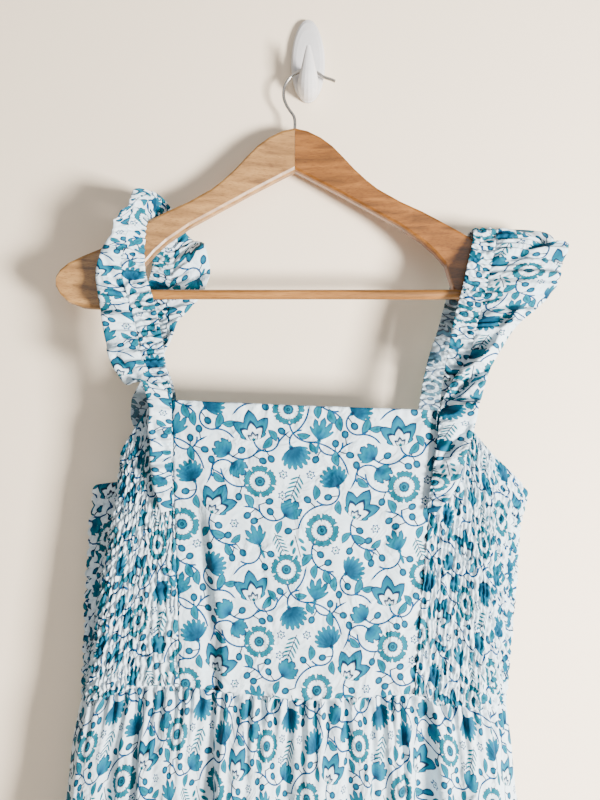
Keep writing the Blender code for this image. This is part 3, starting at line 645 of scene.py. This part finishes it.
def printed(tree, flat, ground):
    """The whole repeat: stems, then sprigs, leaves and buds, then flowers on top."""
    shown = node(tree, "Mix", [0.0, (6, ground), (7, ground)], data_type="RGBA")
    for x, y, turn, radius, back in stems:
        flat, shown = stamp(tree, flat, shown, "stem", x, y, turn, (radius, back, 1))
    for kind, x, y, turn, half in sprigs:
        flat, shown = stamp(tree, flat, shown, kind, x, y, turn, (half / 12, half / 12, 1))
    for kind, x, y, turn, length in leaves:
        wide = length * {"leaf": 0.50, "bud": 0.85, "star": 1.0}[kind]
        flat, shown = stamp(tree, flat, shown, kind, x, y, turn, (wide, length, 1))
    for kind, reach, x, y, turn in flowers:
        foot = 0.0 if kind == "rosette" else HEART * reach
        flat, shown = stamp(tree, flat, shown, kind, x - math.cos(turn) * foot,
                            y - math.sin(turn) * foot, turn, (reach, reach, 1))
    return shown


# %% [markdown]
# ## Printed cotton
# Plain-weave cotton lawn, bleached white and screen printed. It scatters light and has no gloss, only the
# faint fuzz of its fibres. The print sits in the cloth, so its colour drifts a little. The wrong side is
# mixed toward a dark grey: partly the print seen greyer through the threads, partly painted shade, as the
# back of the cloth lies in shadow.

# %% Cotton material
THREAD = 0.35              # mm from one thread to the next
# The wrong side's share of dark grey is partly the print seen through the threads and partly painted
# shade.
GREY_AND_PAINTED_SHADE = 0.38              # share of grey in the wrong side


def cotton_material(name):
    """The print drawn on the cloth's own flat coordinates, in a weave of fine threads."""
    made, tree, shader = new_material(name)
    flat = node(tree, "UVMap", uv_map="cut")
    mm = node(tree, "VectorMath MULTIPLY", [flat, (1000, 1000, 0)])
    shown = printed(tree, mm, linear(WHITE))
    drift = node(tree, "TexNoise", [("Vector", mm), ("Scale", 0.12), ("Detail", 3.0)])
    faded = set_stops(node(tree, "ValToRGB", [drift]),
                      [(0.35, (1, 1, 1, 1)), (0.70, (0.88, 0.94, 0.96, 1))])
    worn = node(tree, "Mix", [1.0, (6, shown), (7, faded)], data_type="RGBA",
                blend_type="MULTIPLY")
    crumple = node(tree, "TexNoise", [("Vector", mm), ("Scale", 0.035), ("Detail", 3.0),
                                      ("Distortion", 0.8)])
    crushed = node(tree, "Bump", [("Height", crumple), ("Strength", 0.60), ("Distance", 0.014)])
    weave = node(tree, "TexNoise", [("Vector", mm), ("Scale", 0.5 / THREAD), ("Detail", 2.0)])
    bump = node(tree, "Bump", [("Height", weave), ("Strength", 0.25), ("Distance", 0.0002),
                               ("Normal", crushed)])
    fill(tree, shader, [("Base Color", worn), ("Normal", bump), ("Roughness", 0.85),
                        ("Sheen Weight", 0.03), ("Sheen Roughness", 0.5), ("Specular IOR Level", 0.15)])
    print(name, "has", len(tree.nodes), "nodes")
    return made, tree, shader, worn


cotton = cotton_material("printed cotton lawn, right side")[0]
cotton_back_shaded, tree, shader, worn = cotton_material("printed cotton lawn, wrong side, painted shade")
# The wrong side is darkened toward grey: partly the print through the threads, partly painted shade.
greyed_and_painted_shade = node(tree, "Mix", [GREY_AND_PAINTED_SHADE, (6, worn), (7, linear("#6E7B86"))], data_type="RGBA")
fill(tree, shader, [("Base Color", greyed_and_painted_shade)])


# %% [markdown]
# ## Making a piece of cloth
# A grid becomes a mesh of quads with the flat cloth's coordinates as its UV map, in metres.
# A Solidify modifier then gives it two sides, the inner one with the wrong side's material.
# Each piece stands for the solid of the same name and rides the dress's one body.

# %% Cloth piece
CLOTH_THICK = 0.00045
CUT_AT = {                 # metres along and down the printed cloth where each piece is cut
    "front_panel": (0.130, -0.012), "skirt_front": (0.031, -0.040), "skirt_back": (0.080, -0.020),
    "shirred_side_left": (0.052, -0.030), "shirred_side_right": (0.012, -0.066),
    "shirred_back": (0.0, -0.100), "strap_left": (0.020, 0.010), "strap_right": (0.084, 0.057),
    "ruffle_left": (0.051, 0.030), "ruffle_right": (0.103, 0.084),
}


def add_cloth(solid, grid, facing, flat_u, flat_v):
    """The sheet that stands for a solid, from a grid of points, on the dress's one body.
    flat_u and flat_v are the cut cloth's coordinates."""
    name = solid + "_cloth"
    across, down = grid.shape[:2]
    index = np.arange(across * down).reshape(across, down)
    quads = np.stack([index[:-1, :-1], index[1:, :-1], index[1:, 1:], index[:-1, 1:]], -1).reshape(-1, 4)
    corner = grid.reshape(-1, 3)[quads]
    normal = np.cross(corner[:, 2] - corner[:, 0], corner[:, 3] - corner[:, 1])
    seen = facing.reshape(-1, 3)[quads[:, 0]]
    if (normal * seen).sum() < 0:
        quads = quads[:, ::-1]
    mesh = bpy.data.meshes.new(name)
    mesh.from_pydata(grid.reshape(-1, 3), [], quads)
    flat = np.stack([np.broadcast_to(flat_u, (across, down)),
                     np.broadcast_to(flat_v, (across, down))], -1) + CUT_AT[solid]
    mesh.uv_layers.new(name="cut").data.foreach_set("uv", flat.reshape(-1, 2)[quads.ravel()].ravel())
    mesh.shade_smooth()
    mesh.materials.append(cotton)
    mesh.materials.append(cotton_back_shaded)
    made = bpy.data.objects.new(name, mesh)
    bpy.context.collection.objects.link(made)
    wall = made.modifiers.new("thickness", "SOLIDIFY")
    wall.thickness = CLOTH_THICK
    wall.offset = 0.0
    wall.material_offset = 1
    wall.material_offset_rim = 0
    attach(made, "root")
    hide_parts(solid)
    print(name, len(quads), "quads")
    return made


def gathers(run, pitch, seed, spread=0.35):
    """The phase of uneven gathers along a run: one turn for each pitch, which wanders."""
    wander = np.random.default_rng(seed).normal(size=int(run.max() / pitch) + 4)
    knots = np.arange(len(wander)) * pitch
    steps = np.clip(1 + spread * wander, 0.35, 1.9)
    turns = np.concatenate([[0], np.cumsum(steps)[:-1]])
    return 2 * np.pi * np.interp(run, knots, turns)


def creased(x, z, creases):
    """The sum of straight creases, each a Gaussian ridge across its line that fades in and
    out along it."""
    height = np.zeros(x.shape)
    for x0, z0, x1, z1, half, depth in creases:
        dx, dz = x1 - x0, z1 - z0
        length = math.hypot(dx, dz)
        along = ((x - x0) * dx + (z - z0) * dz) / length**2
        off = ((x - x0) * dz - (z - z0) * dx) / length
        fade = smooth_step(-0.15, 0.2, along) * smooth_step(-0.15, 0.2, 1 - along)
        height += depth * fade * np.exp(-(off / half) ** 2)
    return height


# %% [markdown]
# ## The bodice
# The bodice is one closed loop round the body. The flat front panel hangs from the straps,
# and the sides and back are shirred: rows of elastic thread draw the cloth to six tenths of
# its width, so it stands in small upright puckers that pinch at each row.

# %% Bodice surface
FINE = 12                  # fine sections for each section of the solids
FINE_STEPS = tuple(steps * FINE for steps in SPAN_STEPS)
AXIS = np.array([-0.008, -0.043, 0.0])    # the upright line that the cloth faces away from
LEVELS = np.linspace(-0.33, -0.62, 59)    # heights at which the loop is worked out


def loop_edge(values):
    """A column table read all round the loop, straight between columns, then softened."""
    after = np.roll(values, -1)
    sharp = np.concatenate([values[i] + (after[i] - values[i]) * np.arange(steps) / steps
                            for i, steps in enumerate(FINE_STEPS)])
    return softened(np.tile(sharp, 3), FINE)[len(sharp):2 * len(sharp)]


def loop_points(z):
    """The loop at height z: x and out of each column, straight between the tables' rows,
    joined by a closed smooth curve."""
    controls = np.stack([[np.interp(-z, -table[:, 0], column) for column in table[:, 1:].T]
                         for table in (BODICE_X, BODICE_OUT)], axis=-1)
    return closed_curve(controls, FINE_STEPS)


def bodice_surface(down):
    """The loop's middle surface at shares down from the top edge to the waist."""
    top, waist = loop_edge(TOP_Z), loop_edge(WAIST_Z)
    stack = np.stack([loop_points(z) for z in LEVELS], axis=1)
    z = top[:, None] + (waist - top)[:, None] * down
    low = np.clip((LEVELS[0] - z) / (LEVELS[0] - LEVELS[1]), 0, len(LEVELS) - 1.001)
    part = low - low.astype(int)
    low = low.astype(int)
    line = np.arange(len(top))[:, None]
    flat = stack[line, low] * (1 - part[..., None]) + stack[line, low + 1] * part[..., None]
    return np.stack([flat[..., 0], -flat[..., 1], z], axis=-1)


def loop_part(surface, first, last):
    """The loop's sections from one named column round to another."""
    start, end = (sum(FINE_STEPS[:LOOP.index(name)]) for name in (first, last))
    return surface[np.arange(start - sum(FINE_STEPS) * (start >= end), end + 1)]


# %% Front panel
PANEL_CREASES = metres(
    # x, z at each end, half width, depth (+ is a ridge)
    (-99, -420, -85, -600, 6.5, -5),
    (-88, -430, -72, -600, 7, 3.6),
    (-80, -530, -83, -605, 3, -3.2),
    (-56, -380, -44, -465, 2.8, -1.5),
    (-45, -470, -29, -560, 2.6, -2),
    (-26, -550, -8, -605, 4, -1.2),
    (44, -370, 25, -470, 6, 0.7),
    (70, -440, 58, -590, 8, -1.1),
    (85, -390, 78, -570, 7, 1),
    (-110, -360, -105, -500, 5, -1.2),
)
surface = bodice_surface(np.linspace(0, 1, 121))
panel = resampled(loop_part(surface, "left_seam", "right_seam"), 104)
outward = grid_normals(panel, panel - AXIS)
run = run_of(panel[:, 60])
hang = panel[..., 2] - panel[:, :1, 2]
height = creased(panel[..., 0], panel[..., 2], PANEL_CREASES)
phase = gathers(run, 0.011, 4)[:, None]
height += 0.0007 * np.sin(phase) * np.exp(hang / 0.016)                 # pulls at the neckline
height += 0.0009 * np.sin(phase * 0.8) * np.exp(-(hang - hang[:, -1:]) / 0.014)    # at the waist
height -= 0.0004 * np.exp(-((hang + 0.009) / 0.0009) ** 2)              # the casing's stitches
panel = panel + outward * height[..., None]
front_panel = add_cloth("front_panel", panel, outward, run[:, None], hang)

# %% Shirred sides and back
FULLNESS = 1.7             # width of the flat cloth for each width of shirring
ELASTIC = 0.0098           # from one row of elastic to the next
PUCKER = 0.0044            # from one pucker to the next
BULGE = 0.0019             # how far the cloth stands out between two rows of elastic
SLIP = 1.7                 # radians that the puckers slip from one row to the next


def shirred_cloth(name, first, last, count, seed, depth):
    """Upright puckers, a sine of the gathers' phase, deepest between two rows of elastic
    and nearly flat at each. The phase slips from row to row, so no pucker runs on."""
    base = resampled(loop_part(surface, first, last), count)
    normals = grid_normals(base, base - AXIS)
    run = run_of(base[:, base.shape[1] // 2])
    drop = base[:, :1, 2] - base[..., 2]
    row = drop / ELASTIC
    low = row.astype(int)
    rows = np.stack([gathers(run, PUCKER, seed + k, 0.42) + SLIP * k
                     for k in range(low.max() + 2)], axis=1)
    line = np.arange(len(run))[:, None]
    blend = smooth_step(0.0, 1.0, row - low)
    before, after = rows[line, low], rows[line, low + 1]
    wave = np.sin(before) * (1 - blend) + np.sin(after) * blend
    pinch = np.abs(np.sin(np.pi * row)) ** 0.6
    bulge = np.sin(np.pi * (row % 1.0)) ** 0.8
    height = depth * (0.20 + 0.80 * pinch) * wave + BULGE * bulge
    base = base + normals * height[..., None]
    made = add_cloth(name, base, normals, run[:, None] * FULLNESS, -drop)


surface = bodice_surface(np.linspace(0, 1, 205))
shirred_cloth("shirred_side_left", "left_edge", "left_seam", 148, 100, 0.0020)
shirred_cloth("shirred_side_right", "right_seam", "right_edge", 148, 200, 0.0020)
surface = bodice_surface(np.linspace(0, 1, 111))
shirred_cloth("shirred_back", "right_edge", "left_edge", 250, 300, 0.0014)

# %% [markdown]
# ## The skirt
# Front and back are straight widths of cloth gathered into the waist seam. Small tucks leave
# the seam every centimetre or so, and within a hand's breadth they merge into the few large
# folds that run to the hem.

# %% Skirt surface
SKIRT_CUT = (0.66, 0.64)   # m, the flat width and length of each half
TUCK, SLOW_TUCK = 0.0105, 0.0240    # m from one small tuck to the next, and of the slow ones


def fold_height(place, fall, folds):
    """The sum of the placed folds: each a Gaussian ridge or trough across, deepening from
    where it starts."""
    height = np.zeros(np.broadcast(place, fall).shape)
    for centre, drift, half, depth, start in folds:
        grown = np.clip((fall - start) / 0.16, 0, 1)
        shape = np.exp(-((place - centre - drift * fall) / half) ** 2)
        height += depth * grown * (0.75 + 0.25 * fall) * shape
    return height


def skirt_half(first, last, steps, rows, folds, side):
    """The middle surface of one half. side is 1 at the front and -1 behind."""
    edge = loop_part(bodice_surface(np.array([0.0, 1.0])), first, last)[:, 1]
    length = run_of(edge)
    place = np.linspace(0, 1, steps + 1)
    edge = np.stack([np.interp(place * length[-1], length, edge[:, i]) for i in range(3)], axis=1)
    fall = np.linspace(0, 1, rows + 1) ** 1.25
    z = edge[:, 2:] + (HEM_Z - edge[:, 2:]) * fall
    left, right, front_add, back_add = (np.interp(-z, -SKIRT[:, 0], SKIRT[:, i]) for i in range(1, 5))
    across = (edge[:, :1] - SKIRT[0, 1]) / (SKIRT[0, 2] - SKIRT[0, 1])
    x = left + (right - left) * across
    crown = np.sin(np.pi * place)[:, None].clip(0, 1) ** 0.5
    added = front_add if side > 0 else -back_add
    out = -edge[:, 1:2] + (added + side * fold_height(across, fall[None, :], folds)) * crown
    out[[0, -1]] += side * SIDE_SEAM_LAP
    return np.stack([x, -out, z], axis=-1), length[-1], place, z - edge[:, 2:]


def skirt_cloth(name, first, last, steps, rows, folds, creases, side, seed):
    """The half's surface with its tucks: a sine of uneven gathers that fades down from the
    waist, and a slower one that fades in."""
    base, waist, place, drop = skirt_half(first, last, steps, rows, folds, side)
    facing = np.broadcast_to(np.array([0.0, -side, 0.0]), base.shape)
    normals = grid_normals(base, facing)
    run = place * waist
    tuck = gathers(run, TUCK, seed)[:, None]
    slow = gathers(run, SLOW_TUCK, seed + 1)[:, None]
    near = np.exp(drop / 0.040)
    height = 0.0040 * np.sin(tuck) * near * smooth_step(0.0, 0.004, -drop)
    height += 0.0012 * np.sin(tuck * 0.5 + 1.0) * np.exp(drop / 0.09) * smooth_step(0.0, 0.02, -drop)
    height += 0.0019 * np.sin(slow) * smooth_step(0.01, 0.12, -drop)
    height += creased(base[..., 0], base[..., 2], creases) * smooth_step(0.0, 0.01, -drop)
    height -= 0.0010 * np.exp(-((drop + 0.0015) / 0.0015) ** 2)    # the waist's row of stitches
    height *= np.sin(np.pi * place)[:, None].clip(0, 1) ** 0.3     # still at the side seams
    base = base + normals * height[..., None]
    made = add_cloth(name, base, facing, place[:, None] * SKIRT_CUT[0], drop)


skirt_cloth("skirt_front", "left_edge", "right_edge", 300, 150, FRONT_FOLDS, FRONT_CREASES, 1, 31)
skirt_cloth("skirt_back", "right_edge", "left_edge", 170, 75, BACK_FOLDS, BACK_CREASES, -1, 41)

# %% [markdown]
# ## Straps and ruffles
# Each strap is a casing over elastic, so it is drawn up in fine cross puckers between its
# stitched channels. A wide ruffle is sewn along one side, from below the neckline over the
# shoulder and down the back, and its free edge is rolled and hemmed.

# %% Strap and ruffle surfaces
FINE_ROWS = 42             # fine sections for each row of a strap's table
RUFFLE_CUT, RUFFLE_PRINT = 1.15, 1.6    # the same for a ruffle's seam, and for its print
FINE_PUCKER, DEEP_WAVE = 0.0024, 0.0058    # m, heights of a ruffle's gathers and slow waves
RUFFLE_FOLDS = {
    # along the seam and out from it at each end, half width, depth (+ is a ridge)
    "left": metres((50, 3, 78, 18, 3, -4),
                   (110, 3, 150, 24, 3.4, -5.5),
                   (205, 2, 262, 27, 4.2, -4.5)),
    "right": metres((45, 4, 78, 25, 3.2, -5.5),
              (95, 3, 168, 36, 4.2, -9),
              (122, 2, 192, 34, 3.8, 5.5),
              (235, 10, 275, 60, 5.5, -5)),
}


def strap_frames(table):
    """The band's middle, its direction across and its face normal, read smoothly."""
    rows = rows_smoothed(table * STRAP_UNITS, FINE_ROWS)
    centre = np.stack([rows[:, 0], -rows[:, 1], rows[:, 2]], axis=1)
    along = unit(np.gradient(centre, axis=0))
    outer = np.sign(rows[0, 0]) * np.array([1.0, 0.0, 0.0])
    across = unit(outer - along * (along @ outer)[:, None])
    upright = np.cross(along, across) * np.sign(rows[0, 0]) * -1
    turn = np.radians(rows[:, 3:4])
    width = np.cos(turn) * across + np.sin(turn) * upright
    return rows, centre, width, np.cross(width, along) * np.sign(rows[0, 0])


def strap_cloth(side, table, seed):
    """Cross puckers, a sine of the gathers' phase along the band, pinched at two lines of stitching and
    at both edges."""
    _, centre, width, face = strap_frames(table)
    start = STRAP_START * FINE_ROWS
    across = np.linspace(-1, 1, 23)
    base = centre[start:, None] + width[start:, None] * across[:, None] * BAND_HALF
    run = run_of(centre[start:])
    phase = gathers(run, 0.0056, seed)[:, None] + 0.9 * np.sin(3.0 * across + 0.5 * seed)
    pinch = 0.25 + 0.75 * np.abs(np.sin(1.5 * np.pi * (across + 1)))
    height = 0.0024 * np.sin(phase) * pinch
    normals = np.repeat(face[start:, None], len(across), axis=1)
    base = base + normals * height[..., None]
    made = add_cloth("strap_" + side, base, normals, (across * BAND_HALF)[None, :],
                     run[:, None] * FULLNESS)


def ruffle_cloth(side, table, seed):
    """From sewn edge to free edge: fine gathers that die away, slow waves that grow, a few listed
    slanting folds, and a hem that rolls back."""
    rows, centre, width, face = strap_frames(table)
    sewn = centre + width * np.clip(rows[:, 4:5], -1, 0.99) * BAND_HALF + face * rows[:, 5:6]
    step = np.stack([rows[:, 6], -rows[:, 7], rows[:, 8]], axis=1)
    reach = np.linalg.norm(step, axis=1)[:, None]
    t = np.linspace(0, 1, 27)
    run = run_of(sewn)
    base = sewn[:, None] + step[:, None] * t[:, None]
    belly = 0.06 * reach * np.sin(np.pi * t)
    small = FINE_PUCKER * np.sin(gathers(run, 0.0072, seed))[:, None]
    small = small * np.exp(-t / 0.42) * smooth_step(0, 0.06, t)
    large = np.sin(gathers(run, 0.030, seed + 1, 0.25))
    lesser = np.sin(gathers(run, 0.017, seed + 2, 0.3))
    slow = (large + 0.45 * lesser)[:, None]
    wave = DEEP_WAVE * slow * t**1.2 * smooth_step(0.006, 0.03, reach)
    wave = wave + creased(run[:, None] + 0 * t, reach * t, RUFFLE_FOLDS[side])
    roll = -0.0016 * smooth_step(0.90, 1.0, t)
    roll = roll - 0.0016 * (1 - smooth_step(0.0, 0.10, t)) * smooth_step(0, 0.02, t)
    facing = np.repeat(face[:, None], len(t), axis=1)
    normals = grid_normals(base, facing)
    base = base + facing * belly[..., None] + normals * (small + wave + roll)[..., None]
    made = add_cloth("ruffle_" + side, base, facing, reach * t, run[:, None] * RUFFLE_PRINT)


for side, table, seed in (("left", STRAP_LEFT, 7), ("right", STRAP_RIGHT, 17)):
    strap_cloth(side, table, seed)
    ruffle_cloth(side, table, seed + 3)

# %% [markdown]
# ## The hanger
# Two planks of pale hardwood, glued at the middle and varnished. The grain runs along each arm. The left
# arm is coloured paler and the right darker and warmer: lit and shaded copies of one wood, the right
# arm's darkness being painted shade, as its face turns away from the light.

# %% Wood material
def wood_material(name, pale, mid, dark, slope):
    """Grain as stretched noise turned to run along the arm, with fine dark pores."""
    made, tree, shader = new_material(name)
    place = node(tree, "TexCoord").outputs["Object"]
    turned = node(tree, "Mapping", [("Vector", place), ("Rotation", (0, slope, 0)),
                                    ("Scale", (10, 150, 150))])
    broad = node(tree, "TexNoise", [("Vector", turned), ("Scale", 1.0), ("Detail", 5.0),
                                    ("Distortion", 0.6)])
    fine_place = node(tree, "Mapping", [("Vector", place), ("Rotation", (0, slope, 0)),
                                        ("Scale", (120, 1500, 1500))])
    fine = node(tree, "TexNoise", [("Vector", fine_place), ("Scale", 1.0), ("Detail", 3.0)])
    colour = set_stops(node(tree, "ValToRGB", [broad]),
                       [(0.30, linear(dark)), (0.50, linear(mid)), (0.72, linear(pale))])
    pore = set_stops(node(tree, "ValToRGB", [fine]),
                     [(0.36, (0.55, 0.48, 0.42, 1)), (0.47, (1, 1, 1, 1))])
    shown = node(tree, "Mix", [0.7, (6, colour), (7, pore)], data_type="RGBA",
                 blend_type="MULTIPLY")
    rough = node(tree, "MapRange", [fine, (3, 0.30), (4, 0.50)])
    bump = node(tree, "Bump", [("Height", fine), ("Strength", 0.15), ("Distance", 0.0003)])
    fill(tree, shader, [("Base Color", shown), ("Roughness", rough), ("Normal", bump),
                        ("Coat Weight", 0.25), ("Coat Roughness", 0.2)])
    return made


def put_material(name, material):
    """Gives a solid of the frame its material."""
    solid = bpy.data.objects[name]
    solid.data.materials.clear()
    solid.data.materials.append(material)


# Lit and shaded copies of one wood: the left arm's paler colours are painted light, the right arm's
# darker ones painted shade.
put_material("hanger_arm_left",
             wood_material("lotus wood, varnished, paler painted light", "#A87E48", "#906838", "#6C4A24", -0.52))
put_material("hanger_arm_right",
             wood_material("lotus wood, varnished, darker painted shade", "#986228", "#7C4C1A", "#5A3610", 0.52))
put_material("hanger_bar", wood_material("turned dowel, varnished", "#A87438", "#8E5E26", "#6C4618", 0.0))

# %% [markdown]
# ## Wire and wall hook
# The hanger's hook is bright zinc-plated steel wire. The wall hook is moulded in glossy white
# styrene on a thin pad, and only its soft reflections show its shape.

# %% Wire and plastic materials
steel, tree, shader = new_material("zinc-plated steel wire, drawn")
streaks = mottled(tree, shader, 900.0, 2.0, linear("#8E8C88"), linear("#B4B1AC"))
rough = node(tree, "MapRange", [streaks, (3, 0.22), (4, 0.38)])
fill(tree, shader, [("Roughness", rough), ("Metallic", 1.0)])
put_material("hanger_hook", steel)

plastic, tree, shader = new_material("white styrene, gloss moulded")
mould = mottled(tree, shader, 60.0, 2.0, linear("#CDCCCE"), linear("#D6D5D7"))
ripple = node(tree, "Bump", [("Height", mould), ("Strength", 0.08), ("Distance", 0.0004)])
fill(tree, shader, [("Normal", ripple), ("Roughness", 0.12)])
put_material("wall_hook", plastic)

foam, tree, shader = new_material("grey adhesive foam, die cut")
mottled(tree, shader, 1500.0, 2.0, linear("#8F8C88"), linear("#A9A6A1"))
fill(tree, shader, [("Roughness", 0.8)])
put_material("wall_pad", foam)

# %% [markdown]
# ## Room and light
# A plain off-white wall takes the dress's soft shadow, and a pale floor lies below. The wall
# is seen only from the front, so a view from behind shows the back of the dress. A small
# window light stands to the right, a little low, and throws the shadow. Two broad soft ones,
# in front and behind, and the pale air fill the rest.

# %% Wall and floor
def add_plane(name, corners, colour):
    """A flat stage face from its four corners."""
    mesh = bpy.data.meshes.new(name)
    mesh.from_pydata(corners, [], [(0, 1, 2, 3)])
    made = bpy.data.objects.new(name, mesh)
    bpy.context.collection.objects.link(made)
    material, tree, shader = new_material(name + " paint")
    paint = linear(colour)
    mottled(tree, shader, 2.2, 4.0, (*[0.97 * part for part in paint[:3]], 1.0), paint)
    fill(tree, shader, [("Roughness", 0.9), ("Specular IOR Level", 0.2)])
    mesh.materials.append(material)
    return made, tree, shader


ROOM = 4                   # m, half the width of the wall and the floor
WALL_Y, WALL_TOP, FLOOR_Z = 0.0008, 2.2, -1.75
wall, tree, shader = add_plane("wall", [(-ROOM, WALL_Y, FLOOR_Z), (ROOM, WALL_Y, FLOOR_Z),
                                        (ROOM, WALL_Y, WALL_TOP), (-ROOM, WALL_Y, WALL_TOP)], "#F6E5CE")
away = node(tree, "NewGeometry").outputs["Backfacing"]
both = node(tree, "MixShader", [away, shader, node(tree, "BsdfTransparent")])
fill(tree, tree.nodes["Material Output"], [("Surface", both)])
wall.visible_shadow = False
add_plane("floor", [(-ROOM, -ROOM, FLOOR_Z), (ROOM, -ROOM, FLOOR_Z), (ROOM, ROOM, FLOOR_Z),
                    (-ROOM, ROOM, FLOOR_Z)], "#E6E2DC")


# %% Lights
def add_light(name, place, aim, size, power, colour):
    """A square area light at a place, turned to face its aim."""
    data = bpy.data.lights.new(name, "AREA")
    data.size = size
    data.energy = power
    data.color = linear(colour)[:3]
    made = bpy.data.objects.new(name, data)
    made.location = place
    along = np.subtract(aim, place)
    flat = math.hypot(along[0], along[1])
    made.rotation_euler = (math.atan2(flat, -along[2]), 0, math.atan2(along[1], along[0]) - math.pi / 2)
    bpy.context.collection.objects.link(made)


for light in (
        # name, place, aim, width in m, power in W, colour
        ("window", (1.14, -1.06, -0.70), (0, 0, -0.45), 0.36, 128.0, "#FFFAF3"),
        ("sky", (0.5, -2.6, 0.6), (0, 0, -0.4), 2.4, 26.0, "#FBFCFF"),
        ("behind", (-0.5, 2.4, 0.2), (0, 0, -0.6), 1.6, 40.0, "#FFFFFF")):
    add_light(*light)
world = bpy.data.worlds.new("pale air")
world.use_nodes = True
fill(world.node_tree, world.node_tree.nodes["Background"], [linear("#F2F1EF"), 0.28])
bpy.context.scene.world = world
